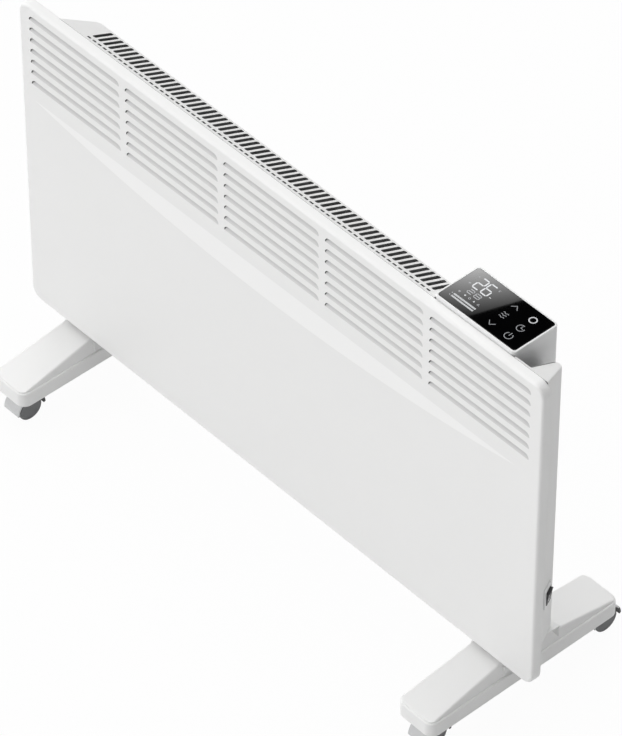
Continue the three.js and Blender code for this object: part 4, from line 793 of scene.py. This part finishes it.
# %% [markdown]
# ## Display and keys
#
# The print lies on the glass in flat strokes, each a narrow ribbon that is drawn by extruding one short
# edge from point to point. The display shows the set temperature in seven-segment figures, a second
# smaller figure, two power bars and a few icons. The keys are two arrows, a sign for heat, and three rings.
# Places are in millimetres from the glass's front left corner.

# %% Ribbons
PRINT_LEVEL, PRINT_THICKNESS = GLASS_FACE + 0.02, 0.04


def on_glass(u, v):
    return Vector((glass_low.x + u, glass_low.y - FACE_Y + v, PRINT_LEVEL))


def ribbon(bm, points, width):
    """A flat stroke through points on the glass; the width may change from point to point."""
    places = [on_glass(*p) for p in points]
    widths = width if isinstance(width, (list, tuple)) else [width] * len(places)
    rails = []
    for i, place in enumerate(places):
        before = (place - places[i - 1]).normalized() if i else None
        after = (places[i + 1] - place).normalized() if i + 1 < len(places) else None
        run = ((before or after) + (after or before)).normalized()
        across = Vector((-run.y, run.x, 0))
        stretch = 1 / max(0.5, run.dot(before or after))
        rails.append((place, across * widths[i] / 2 * stretch))
    place, half = rails[0]
    pair = [bm.verts.new(place + half), bm.verts.new(place - half)]
    edge = bm.edges.new(pair)
    for (last, _), (place, half) in zip(rails, rails[1:]):
        made = bmesh.ops.extrude_edge_only(bm, edges=[edge])["geom"]
        fresh = verts_in(made)
        edge = next(g for g in made if isinstance(g, bmesh.types.BMEdge) and set(g.verts) == set(fresh))
        fresh.sort(key=lambda v: (v.co - last).dot(half), reverse=True)
        fresh[0].co, fresh[1].co = place + half, place - half


def arc(u, v, radius, start=0, end=360, steps=40):
    """Points on a circle about (u, v), angles in degrees from the +u direction."""
    angles = [math.radians(start + (end - start) * i / steps) for i in range(steps + 1)]
    return [(u + radius * math.cos(a), v + radius * math.sin(a)) for a in angles]


DIGITS = {"2": "abged", "6": "afgedc", "8": "abcdefg"}
BAR_GAP, BAR_TIP, TIP_WIDTH = 0.22, 0.45, 0.15  # the first two as shares of the bar's width


def figure(bm, digit, u, v, wide, high, width):
    """A seven-segment figure with its lower left corner at (u, v); its bars are pointed at both ends."""
    mid, right, top = v + high / 2, u + wide, v + high
    bars = {"a": ((u, top), (right, top)), "b": ((right, mid), (right, top)), "c": ((right, v), (right, mid)),
            "d": ((u, v), (right, v)), "e": ((u, v), (u, mid)), "f": ((u, mid), (u, top)),
            "g": ((u, mid), (right, mid))}
    for name in DIGITS[digit]:
        start, end = (Vector(p) for p in bars[name])
        gap, tip = (share * width * (end - start).normalized() for share in (BAR_GAP, BAR_TIP))
        start, end = start + gap, end - gap
        ribbon(bm, [start, start + tip, end - tip, end], [TIP_WIDTH, width, width, TIP_WIDTH])


def display_print(name, bm, finish):
    """Gives the strokes a thickness and a glow."""
    bmesh.ops.remove_doubles(bm, verts=bm.verts, dist=0.001)
    bm.normal_update()
    bmesh.ops.reverse_faces(bm, faces=[f for f in bm.faces if f.normal.z < 0])
    made = bmesh.ops.extrude_face_region(bm, geom=bm.faces[:], use_keep_orig=True)["geom"]
    bmesh.ops.translate(bm, verts=verts_in(made), vec=(0, 0, PRINT_THICKNESS))
    bmesh.ops.recalc_face_normals(bm, faces=bm.faces)
    return dress(name, bm, "heater", "black_glass", finish=finish)


# %% Lit display
lit = bmesh.new()
figure(lit, "2", 15.6, 34.2, 8.8, 17.3, 1.6)
figure(lit, "6", 27.4, 34.2, 9.1, 17.3, 1.6)
for i in range(27):
    u = 11.8 + i * 1.2
    ribbon(lit, [(u, 8.0), (u, 10.2)], 0.75)
    ribbon(lit, [(u, 11.7), (u, 14.0)], 0.75)
ribbon(lit, arc(21, 19.6, 0.5, steps=16), 1.0)
ribbon(lit, arc(34, 19.6, 0.55, 45, 405, 4), 1.1)
ribbon(lit, [(40.1, 35.7), (42.2, 35.7)], 0.9)
display_print("display_lit", lit, MARK_BRIGHT)

dim = bmesh.new()
figure(dim, "2", 17.9, 24.4, 6.8, 6.2, 1.0)
figure(dim, "8", 27.6, 24.4, 7.2, 6.2, 1.0)
for u, v in ((9.0, 9.0), (9.0, 12.8), (11.0, 49.6), (40.7, 49.3)):
    ribbon(dim, arc(u, v, 0.35, steps=12), 0.7)
for turn in range(3):
    for u, v in ((12.5, 19.6), (10.7, 36.1)):
        reach = Vector((1.5, 0))
        reach.rotate(Matrix.Rotation(math.radians(60 * turn + 30), 2))
        ribbon(dim, [Vector((u, v)) - reach, Vector((u, v)) + reach], 0.45)
ribbon(dim, arc(27.5, 19.6, 1.2, steps=24), 0.55)
ribbon(dim, [(39.3, 18.6), (40.7, 20.9), (42.1, 18.6), (39.3, 18.6)], 0.5)
ribbon(dim, [(39.4, 50.9), (42.0, 50.9)], 0.5)
display_print("display_dim", dim, MARK_DIM)

# %% Keys
keys = bmesh.new()
ribbon(keys, [(64.5, 13.0), (69.1, 8.1), (73.7, 13.0)], 0.85)
ribbon(keys, [(64.5, 43.1), (69.1, 48.0), (73.7, 43.1)], 0.85)
for v in (25, 28.5, 32):
    wave = [(65.4 + 7.4 * i / 18, v + 0.6 * math.sin(2 * math.pi * i / 12)) for i in range(19)]
    ribbon(keys, wave, 0.85)
ribbon(keys, arc(94.6, 11.1, 4.65, 125, 415), 0.95)
ribbon(keys, [(94.6, 11.4), (94.6, 16.6)], 0.95)
ribbon(keys, arc(95, 28.1, 4.65, 75, 375), 0.95)
ribbon(keys, [(95, 31.6), (95, 28.1), (98, 28.1)], 0.85)
display_print("key_print", keys, MARK_KEY)
ring = bmesh.new()
ribbon(ring, arc(95, 45.5, 4.2, steps=48), 1.4)
display_print("key_ring", ring, MARK_RING)

# %% [markdown]
# ## Feet
#
# A foot is a long hollow moulding: a skirt with round corners, a small ledge, and a ridge that rises from
# both ends to a flat crest under the heater. The ridge starts as a block that is cut at the places where
# its top changes direction. The rows of its top are then moved, and its long edges are rounded.

# %% Foot
FOOT_ENDS, FOOT_HALF, FOOT_CORNER = (-102, 180), 28.5, 12
LEDGE_HEIGHT, SKIRT_FOOT, CREST = 62, 43, PANEL_BOTTOM - 7
RIDGE_FOOT, RIDGE_HALF, CREST_HALF = 64.2, 26.2, 22.7
RIB_DEPTHS = (-50, 8, 56, 122)
STEM_DEPTHS = {"front": -89, "back": 167}


def foot_plan(inset, low, high):
    half = FOOT_HALF - inset
    bm = block((-half, half), (FOOT_ENDS[0] + inset, FOOT_ENDS[1] - inset), (low, high))
    soften(bm, edges_along(bm, 2), FOOT_CORNER - inset, 10)
    return bm


def foot_ridge():
    front, back = FOOT_ENDS[0] + 1, FOOT_ENDS[1] - 1
    bm = block((-26.4, 26.4), (front, back), (LEDGE_HEIGHT - 2.5, LEDGE_HEIGHT + 0.6))
    rows = {front + 5: (RIDGE_FOOT, RIDGE_HALF), 4: (CREST, CREST_HALF), 62: (CREST, CREST_HALF),
            back - 5: (RIDGE_FOOT, RIDGE_HALF)}
    for depth in rows:
        bmesh.ops.bisect_plane(bm, geom=bm.verts[:] + bm.edges[:] + bm.faces[:], plane_co=(0, depth, 0),
                               plane_no=(0, 1, 0))
    for vertex in bm.verts:
        for depth, (top, half) in rows.items():
            if abs(vertex.co.y - depth) < 0.01 and vertex.co.z > LEDGE_HEIGHT:
                vertex.co = (math.copysign(half, vertex.co.x), depth, top)
    crown = [e for e in bm.edges if all(v.co.z > LEDGE_HEIGHT and abs(v.co.x) > 20 for v in e.verts)
             and e.verts[0].co.x * e.verts[1].co.x > 0]
    soften(bm, crown, 2.3, 5)
    return combine(bm, foot_plan(2, LEDGE_HEIGHT - 3, CREST + 2), "INTERSECT")


def foot_shell():
    skirt = foot_plan(0, SKIRT_FOOT, LEDGE_HEIGHT)
    soften(skirt, edges_of_faces(skirt, (0, 0, 1)), 1.9, 5)
    bm = combine(skirt, foot_ridge(), "UNION")
    bm.normal_update()
    under = [f for f in bm.faces if f.normal.z < -0.9 and f.calc_center_median().z < SKIRT_FOOT + 0.1]
    bmesh.ops.delete(bm, geom=under, context="FACES_ONLY")
    bm = evaluated(bm, "SOLIDIFY", thickness=2.5, offset=-1, use_even_offset=False)
    for depth in RIB_DEPTHS:
        under_crest = abs(depth - 36) < 60
        slab(bm, (-RIDGE_HALF, RIDGE_HALF), (depth - 1, depth + 1), (48, 76 if under_crest else 60))
    for depth in STEM_DEPTHS.values():
        turned(bm, ((6.6, 45), (9.5, 45), (9.5, 60.5), (6.6, 60.5)), (0, depth, 0), 2, 32)
    bmesh.ops.recalc_face_normals(bm, faces=bm.faces)
    return bm


feet_x = {}
for side in ("left", "right"):
    low, high = box_mm(f"foot_{side}")
    feet_x[side] = (low.x + high.x) / 2
    shell = foot_shell()
    move(shell, Matrix.Translation((feet_x[side], 0, 0)))
    dress(f"foot_moulding_{side}", shell, "heater", "foot_plastic", [f"foot_{side}"])

# %% [markdown]
# ## Foot brackets
#
# Between the casing floor and each foot stands a channel of folded steel. Its section is drawn as one
# line of edges, swept along the heater, rounded at the four folds and given its thickness. Two cutters
# with a rounded inner corner then take the lower corners away, which leaves a leg and two wings.

# %% Brackets
BRACKET_HALF, LEG_HALF, WING_HEIGHT = 54, 19, 17
HOLE_PLACE, HOLE_DROP = 45, 8.5
low, high = box_mm("foot_bracket_left")
BRACKET_FRONT, BRACKET_BACK = low.y - FACE_Y, high.y - FACE_Y
BRACKET_FOOT, BRACKET_TOP = low.z, high.z


def bracket_sheet():
    front, back, foot, top = BRACKET_FRONT, BRACKET_BACK, BRACKET_FOOT, BRACKET_TOP
    bm = bmesh.new()
    line = [(front + 12, foot), (front, foot), (front, top), (back, top), (back, foot), (back - 12, foot)]
    verts = [bm.verts.new((-BRACKET_HALF, y, z)) for y, z in line]
    edges = [bm.edges.new(pair) for pair in zip(verts, verts[1:])]
    made = bmesh.ops.extrude_edge_only(bm, edges=edges)["geom"]
    bmesh.ops.translate(bm, verts=verts_in(made), vec=(2 * BRACKET_HALF, 0, 0))
    soften(bm, [e for e in edges_along(bm, 0) if not e.is_boundary], 2.4, 5)
    bmesh.ops.recalc_face_normals(bm, faces=bm.faces)
    bm.normal_update()
    upper = max(bm.faces, key=lambda f: f.calc_center_median().z)
    if upper.normal.z < 0:
        bmesh.ops.reverse_faces(bm, faces=bm.faces[:])
    bm = evaluated(bm, "SOLIDIFY", thickness=1.5, offset=-1, use_even_offset=True)
    tool = bmesh.new()
    wing = top - WING_HEIGHT
    for side in (-1, 1):
        slab(tool, (side * LEG_HALF, side * 60), (front - 5, back + 5), (foot - 5, wing))
    soften(tool, edges_along(tool, 1, lambda m: abs(m.x) < LEG_HALF + 1 and m.z > wing - 1), 8, 6)
    for side in (-1, 1):
        round_bar(3, (side * HOLE_PLACE, top - HOLE_DROP), 1, front - 5, back + 5, 24, tool)
        round_bar(2, (side * (HOLE_PLACE + 1), (front + back) / 2), 2, top - 5, top + 5, 20, tool)
    return combine(bm, tool)


for side, x in feet_x.items():
    sheet = bracket_sheet()
    move(sheet, Matrix.Translation((x, 0, 0)))
    dress(f"bracket_sheet_{side}", sheet, "heater", "bracket_enamel", [f"foot_bracket_{side}"])

# %% [markdown]
# ## Screws
#
# A pan-head screw is a short turned dome with a cross cut into it. One is made, and its copies are
# turned to their faces: along the flange of the casing, and in the holes of the foot brackets.

# %% Screw heads
HEAD_RADIUS, HEAD_HEIGHT = 3.6, 1.5
ARM, ARM_HALF_WIDTH = HEAD_RADIUS * 0.55, 0.35  # of the cross


def screw_head():
    """A head that stands on the plane z = 0, with its recess cut from above."""
    bm = bmesh.new()
    shape = [(0.0, 0), (1, 0), (1, 0.35), (0.82, 0.78), (0.45, 1), (0.0, 1)]
    turned(bm, [(HEAD_RADIUS * r, HEAD_HEIGHT * z) for r, z in shape], (0, 0, 0), 2, 20, closed=False)
    clean(bm, 0.0005)
    for x, y in ((ARM, ARM_HALF_WIDTH), (ARM_HALF_WIDTH, ARM)):
        bm = combine(bm, block((-x, x), (-y, y), (HEAD_HEIGHT * 0.45, HEAD_HEIGHT + 1)))
    return bm


def place_screws(name, places, turn):
    """Copies of one screw head at places in the heater; turn points them away from their face."""
    mesh = stored(screw_head())
    bm = bmesh.new()
    for i, place in enumerate(places):
        before = len(bm.verts)
        bm.from_mesh(mesh)
        bm.verts.ensure_lookup_table()
        spin = Matrix.Rotation(0.5 + 1.1 * i, 4, "Z")
        bmesh.ops.transform(bm, matrix=Matrix.Translation(place) @ turn @ spin, verts=bm.verts[before:])
    bpy.data.meshes.remove(mesh)
    return dress(name, bm, "heater", "zinc_sheet")


to_back, to_front = Matrix.Rotation(-math.pi / 2, 4, "X"), Matrix.Rotation(math.pi / 2, 4, "X")
flange_back = CASING_FRONT + SHEET
along = [(x, flange_back, PANEL_BOTTOM + 12) for x in (-390, -195, 0, 195, 390)]
along += [(-396, flange_back, z) for z in (PANEL_BOTTOM + 150, PANEL_BOTTOM + 290, PANEL_TOP - 24)]
place_screws("flange_screws", along, to_back)
holes = [(x + side * HOLE_PLACE, BRACKET_TOP - HOLE_DROP) for x in feet_x.values() for side in (-1, 1)]
place_screws("bracket_screws_back", [(x, BRACKET_BACK, z) for x, z in holes], to_back)
place_screws("bracket_screws_front", [(x, BRACKET_FRONT, z) for x, z in holes], to_front)

# %% [markdown]
# ## Castors
#
# Each castor is a twin wheel under a hood. The hood is a curved strip, turned about the axle by less than
# a full circle, with a web between the wheels and a collar for the stem. The wheels are turned profiles
# with a groove in the tread and a fine ring in the outer face.

# %% Turned and swept parts
WHEEL, TRAIL, HOOD = 16, 12, 20.5
HOOD_HALF, HOOD_SHEET = 13, 2
HOOD_TAIL = math.radians(31)  # the last part of the hood, whose place a black piece of painted shade takes behind the wheels
# the black strip inside the hood: painted shade between the hood and the wheels
SHADE_LINER_HALF, SHADE_LINER_INNER, SHADE_LINER_OUTER = 12.8, 16.9, 18.45
WEB_HALF, AXLE_HOLE, STEM_HOLE = 2.5, 2.3, 4.3
WHEEL_NEAR, WHEEL_FAR = 3.1, 10.4


def wheel_mesh(side):
    near, far, mid = WHEEL_NEAR, WHEEL_FAR, (WHEEL_NEAR + WHEEL_FAR) / 2
    points = [(2.3, near), (15.0, near), (15.7, near + 0.3), (16.0, near + 1.0), (16.0, mid - 0.5),
              (15.6, mid - 0.3), (15.6, mid + 0.3), (16.0, mid + 0.5), (16.0, far - 1.0), (15.7, far - 0.3),
              (15.0, far), (13.6, far), (13.3, far - 0.3), (13.0, far - 0.4), (12.7, far - 0.3),
              (2.0, far - 0.1), (0.0, far - 0.1), (0.0, far - 1.0), (2.3, far - 1.0)]
    bm = bmesh.new()
    turned(bm, points, (0, TRAIL, WHEEL), 0)
    if side < 0:
        bmesh.ops.scale(bm, vec=(-1, 1, 1), verts=bm.verts)
    clean(bm)
    return bm


def strip_about_axle(half, inner, outer, angle, steps, way=-1, rise=0):
    """A curved strip, swept up from the front of the axle (way -1) or from behind it (way 1)."""
    bm = bmesh.new()
    corners = [bm.verts.new((x, TRAIL + way * r, WHEEL + rise))
               for x, r in ((-half, inner), (half, inner), (half, outer), (-half, outer))]
    strip = bm.faces.new(corners)
    bmesh.ops.spin(bm, geom=[strip, *strip.edges, *strip.verts], cent=(0, TRAIL, WHEEL), axis=(1, 0, 0),
                   angle=way * angle, steps=steps)
    clean(bm)
    return bm


def hood_mesh():
    dip = math.asin(0.5 / HOOD)
    bm = strip_about_axle(HOOD_HALF, HOOD - HOOD_SHEET, HOOD, math.pi + 2 * dip - HOOD_TAIL, 40)
    bmesh.ops.rotate(bm, verts=bm.verts, cent=(0, TRAIL, WHEEL), matrix=Matrix.Rotation(dip, 3, "X"))
    soften(bm, sharp_edges(bm, 1.2), 0.55, 3)
    web = combine(round_bar(HOOD - 1, (TRAIL, WHEEL), 0, -WEB_HALF, WEB_HALF, 64),
                  block((-5, 5), (TRAIL - 30, TRAIL + 30), (WHEEL - 30, WHEEL)))
    web = combine(web, round_bar(6.5, (TRAIL, WHEEL), 0, -WEB_HALF, WEB_HALF, 40), "UNION")
    bm = combine(bm, web, "UNION")
    collar = round_bar(7.5, (0, 0), 2, 32.5, 43, 40)
    soften(collar, edges_of_faces(collar, (0, 0, 1)), 0.7, 3)
    bm = combine(bm, collar, "UNION")
    bm = combine(bm, round_bar(STEM_HOLE, (0, 0), 2, 33.7, 50, 32))
    return combine(bm, round_bar(AXLE_HOLE, (TRAIL, WHEEL), 0, -14, 14, 24))


def shade_liner_mesh():
    """Painted shade: a black inner strip of the hood, which ends in a rounded black piece behind the wheels;
    both stand for the shade between the hood and the wheels.
    """
    bm = strip_about_axle(SHADE_LINER_HALF, SHADE_LINER_INNER, SHADE_LINER_OUTER, math.radians(166), 36, rise=4)
    bm = combine(bm, block((-2.9, 2.9), (TRAIL - 30, TRAIL + 30), (0, 60)))
    shade_tail = strip_about_axle(HOOD_HALF, SHADE_LINER_INNER, HOOD, HOOD_TAIL - 0.01, 8, way=1)
    soften(shade_tail, sharp_edges(shade_tail, 1.2), 1.2, 4)
    return combine(bm, shade_tail, "UNION")


# %% Castors in their places
for side, x in feet_x.items():
    for end, depth in STEM_DEPTHS.items():
        place = f"{end}_{side}"
        castor, wheels = f"castor_{place}", f"wheels_{place}"
        # the black strip and its rounded end inside the hood are painted shade
        pieces = [("hood", hood_mesh(), castor, "hood_plastic", [f"castor_hood_{place}"]),
                  ("hood_liner", shade_liner_mesh(), castor, "black_plastic", []),
                  ("wheel_a", wheel_mesh(-1), wheels, "wheel_rubber", [f"castor_wheel_a_{place}"]),
                  ("wheel_b", wheel_mesh(1), wheels, "wheel_rubber", [f"castor_wheel_b_{place}"])]
        for name, bm, body, slot, nodes in pieces:
            move(bm, Matrix.Translation((x, depth, 0)))
            dress(f"{name}_{place}", bm, body, slot, nodes)

# %% [markdown]
# ## Cable gland and rocker switch
#
# The gland is turned in one go. The switch is a bezel and a box with a well. Its rocker is a block with a
# dished outer face, which a large round cutter gives, and it lies with its lower end pressed in. Its two
# signs, a bar and a ring, stand in shallow relief.

# %% Gland
gland = bmesh.new()
shape = [(4.0, -4.0), (7.0, -4.0), (8.0, -0.9), (8.0, 0.3), (10.4, 0.3), (11.0, 0.9), (11.0, 2.4),
         (10.4, 3.1), (9.4, 3.3), (7.3, 3.3), (6.9, 3.7), (6.1, 8.6), (5.7, 9.0), (4.4, 9.0), (4.0, 8.6)]
turned(gland, shape, (GLAND[0], CASING_BACK, GLAND[1]), 1)
clean(gland)
dress("gland_bush", gland, "heater", "black_plastic", ["cord_gland"])

# %% Switch frame
PIVOT = -4  # the rocker's axle, counted outwards from the casing's end
bezel = block((0.3, 2.1), (-10.5, 10.5), (-14, 14))
soften(bezel, edges_along(bezel, 0), 1.5, 5)
soften(bezel, edges_of_faces(bezel, (1, 0, 0)), 0.6, 3)
surround = combine(bezel, block((-13, 1), (-9.2, 9.2), (-12.7, 12.7)), "UNION")
well = block((-10, 4), (-6.9, 6.9), (-9.9, 9.9))
soften(well, edges_along(well, 0), 0.6, 3)
surround = combine(surround, well)
surround = combine(surround, round_bar(1.7, (PIVOT, 0), 1, -10.5, 10.5, 24))
move(surround, SWITCH_PLACE)
dress("switch_surround", surround, "heater", "white_plastic", ["switch_frame"])

# %% Rocker
ROCKER_FACE, ROCKER_HALF, DISH = 4.1, 8.9, 1.1
ROCKER_LEAN = math.radians(8)
ROCKER_POSE = SWITCH_PLACE @ Matrix.Translation((PIVOT, 0, 0)) @ Matrix.Rotation(ROCKER_LEAN, 4, "Y") \
    @ Matrix.Translation((-PIVOT, 0, 0))
rocker = block((-6, ROCKER_FACE), (-6.5, 6.5), (-ROCKER_HALF, ROCKER_HALF))
for vertex in rocker.verts:
    if vertex.co.x < 0:
        vertex.co.z *= 0.75
sweep = (ROCKER_HALF ** 2 + DISH ** 2) / (2 * DISH)  # radius of the dished face
rocker = combine(rocker, round_bar(sweep, (ROCKER_FACE + sweep - DISH, 0), 1, -12, 12, 360))
outer = [e for e in sharp_edges(rocker, 0.6) if e.verts[0].co.x + e.verts[1].co.x > 4]
soften(rocker, outer, 0.45, 3)
rocker = combine(rocker, round_bar(1.4, (PIVOT, 0), 1, -9, 9, 24), "UNION")
move(rocker, ROCKER_POSE)
dress("rocker_key", rocker, "power_rocker", "rocker_plastic", ["switch_rocker"])

# %% [markdown]
# A sign is made at the origin, sunk a little, and moved to its height on the dish, where it leans as the
# dish does.

# %% Signs on the rocker
SIGN_HEIGHT, SUNK, RELIEF = 5.2, -0.2, 0.12


def on_dish(height):
    depth = DISH * (1 - (height / ROCKER_HALF) ** 2)
    lean = Matrix.Rotation(math.atan2(height, sweep), 4, "Y")
    return ROCKER_POSE @ Matrix.Translation((ROCKER_FACE - depth, 0, height)) @ lean


signs = block((SUNK, RELIEF), (-0.45, 0.45), (-1.7, 1.7))
move(signs, on_dish(SIGN_HEIGHT))
hoop = bmesh.new()
turned(hoop, ((1.1, SUNK), (1.9, SUNK), (1.9, RELIEF), (1.1, RELIEF)), (0, 0, 0), 0, 32)
clean(hoop)
move(hoop, on_dish(-SIGN_HEIGHT))
pour(hoop, signs)
dress("rocker_signs", signs, "power_rocker", "white_plastic")

# %% [markdown]
# ## Camera and the reflection in the glass
#
# A long lens from far away gives the nearly parallel lines of the product view. Black glass shows little
# but what it mirrors, so a card stands where the camera's sight line arrives after the glass has turned
# it. Mirroring the camera in the plane of the glass gives each point of the card. Its left part glows
# softly, its right part is black, and the edge between them crosses the glass. Only glossy rays see it.

# %% Camera
camera = bpy.data.objects.new("camera", bpy.data.cameras.new("camera"))
scene.collection.objects.link(camera)
camera.location = (3.1724, -2.85695, 4.3578)
camera.rotation_euler = (math.radians(46), 0, math.radians(47.91))
camera.data.sensor_width = 36
camera.data.lens = 265.0
camera.data.clip_end = 100
scene.camera = camera

# %% Reflection cards
CARD_DISTANCE = 0.2
CARD_BOTTOM, CARD_HEIGHT = -4, 67  # in millimetres on the glass
MIRROR_SHARE = 0.034  # part of the light that the glass gives back at this angle


def beyond_glass(u, v):
    """The point that the camera sees mirrored at a place on the glass, a card's distance away."""
    point = Vector((glass_low.x + u, glass_low.y + v, GLASS_FACE)) / 1000
    mirrored = Vector((camera.location.x, camera.location.y, 2 * point.z - camera.location.z))
    return point + (point - mirrored).normalized() * CARD_DISTANCE


def card(name, left, right, finish):
    """A card between two lines u = left(v) and u = right(v) on the glass."""
    bm = bmesh.new()
    bm.loops.layers.uv.verify()
    bmesh.ops.create_grid(bm, x_segments=10, y_segments=10, size=0.5, calc_uvs=True)
    for vertex in bm.verts:
        v = CARD_BOTTOM + (vertex.co.y + 0.5) * CARD_HEIGHT
        u = left(v) + (vertex.co.x + 0.5) * (right(v) - left(v))
        vertex.co = beyond_glass(u, v)
    mesh = stored(bm, name)
    mesh.materials.append(finish.material)
    made = bpy.data.objects.new(name, mesh)
    scene.collection.objects.link(made)
    for ray in ("camera", "diffuse", "transmission", "shadow", "volume_scatter"):
        setattr(made, "visible_" + ray, False)


glow, dark = Finish("card_glow"), Finish("card_dark")
place = glow.node("ShaderNodeTexCoord", output="UV")
across = glow.node("ShaderNodeSeparateXYZ", {}, {"Vector": place}, output="X")
along = glow.node("ShaderNodeSeparateXYZ", {}, {"Vector": place}, output="Y")
fade = (0.12 + 0.42 * along) * (1 - across * (1.02 - 0.18 * across))
glow.set(Base_Color=(0, 0, 0), Specular_IOR_Level=0.0, Emission_Strength=1 / MIRROR_SHARE,
         Emission_Color=glow.blend(fade, (0, 0, 0), (1, 1, 1)))
dark.set(Base_Color=(0, 0, 0), Specular_IOR_Level=0.0)


def card_edge(v):
    return 45.7 + 0.338 * v


card("card_left", lambda v: -6, card_edge, glow)
card("card_right", card_edge, lambda v: 124, dark)
print("reflection cards at", [round(c, 2) for c in beyond_glass(57, 30)])

# %% [markdown]
# The floor and the world light the heater as a bright room does, and are pure white where the camera, a
# mirror or clear plastic looks at them. A Light Path node tells the two kinds of ray apart. Four suns
# from the top, the back, the left and the front shade the faces.

# %% Floor, light and background
def white_when_seen(nodes, lit, white, output, share=1.0):
    """Shows white to the rays that see, and leaves lit for the light that falls on things."""
    camera_ray, glossy_ray, clear_ray = (nodes.node("ShaderNodeLightPath", output=f"Is {kind} Ray")
                                         for kind in ("Camera", "Glossy", "Transmission"))
    seen = camera_ray + glossy_ray + clear_ray
    factor = seen.maths("MINIMUM", seen, 1.0) * share
    mixed = nodes.node("ShaderNodeMixShader", {}, {0: factor, 1: lit, 2: white})
    nodes.put(nodes.tree.nodes[output].inputs["Surface"], mixed)


bm = bmesh.new()
bmesh.ops.create_grid(bm, x_segments=1, y_segments=1, size=12)
floor = bpy.data.objects.new("floor", stored(bm, "floor"))
scene.collection.objects.link(floor)
floor_finish = Finish("floor")
floor_base = floor_finish.blend(floor_finish.noise(3.0), (0.79, 0.79, 0.79), (0.81, 0.81, 0.81))
floor_finish.set(Base_Color=floor_base, Roughness=0.9, Specular_IOR_Level=0.1)
white_when_seen(floor_finish, Value(floor_finish, floor_finish.shader.outputs[0]),
                floor_finish.node("ShaderNodeEmission"), "Material Output", 0.96)
floor.data.materials.append(floor_finish.material)

world = bpy.data.worlds.new("studio")
scene.world = world
world.use_nodes = True
room = Nodes(world.node_tree)
background = world.node_tree.nodes["Background"]
background.inputs["Color"].default_value = (1, 1, 1, 1)
background.inputs["Strength"].default_value = 0.2
white = room.node("ShaderNodeBackground", {}, {"Color": (1, 1, 1), "Strength": 1.0})
white_when_seen(room, Value(room, background.outputs[0]), white, "World Output")


def sun(name, towards, strength, softness):
    """A distant lamp that shines from the direction given."""
    lamp = bpy.data.objects.new(name, bpy.data.lights.new(name, "SUN"))
    scene.collection.objects.link(lamp)
    lamp.data.energy = strength * math.pi
    lamp.data.angle = softness
    lamp.rotation_euler = Vector(towards).to_track_quat("Z", "Y").to_euler()
    return lamp


sun("top", (0.0, -0.1, 1.0), 0.20, 1.0)
sun("behind", (-0.4, 0.35, 0.85), 0.42, 1.2)
sun("left", (-0.75, -0.65, 0.12), 0.62, 1.4)
sun("front", (0.05, -0.98, 0.2), 0.21, 1.4)
scene.view_settings.view_transform = "Standard"
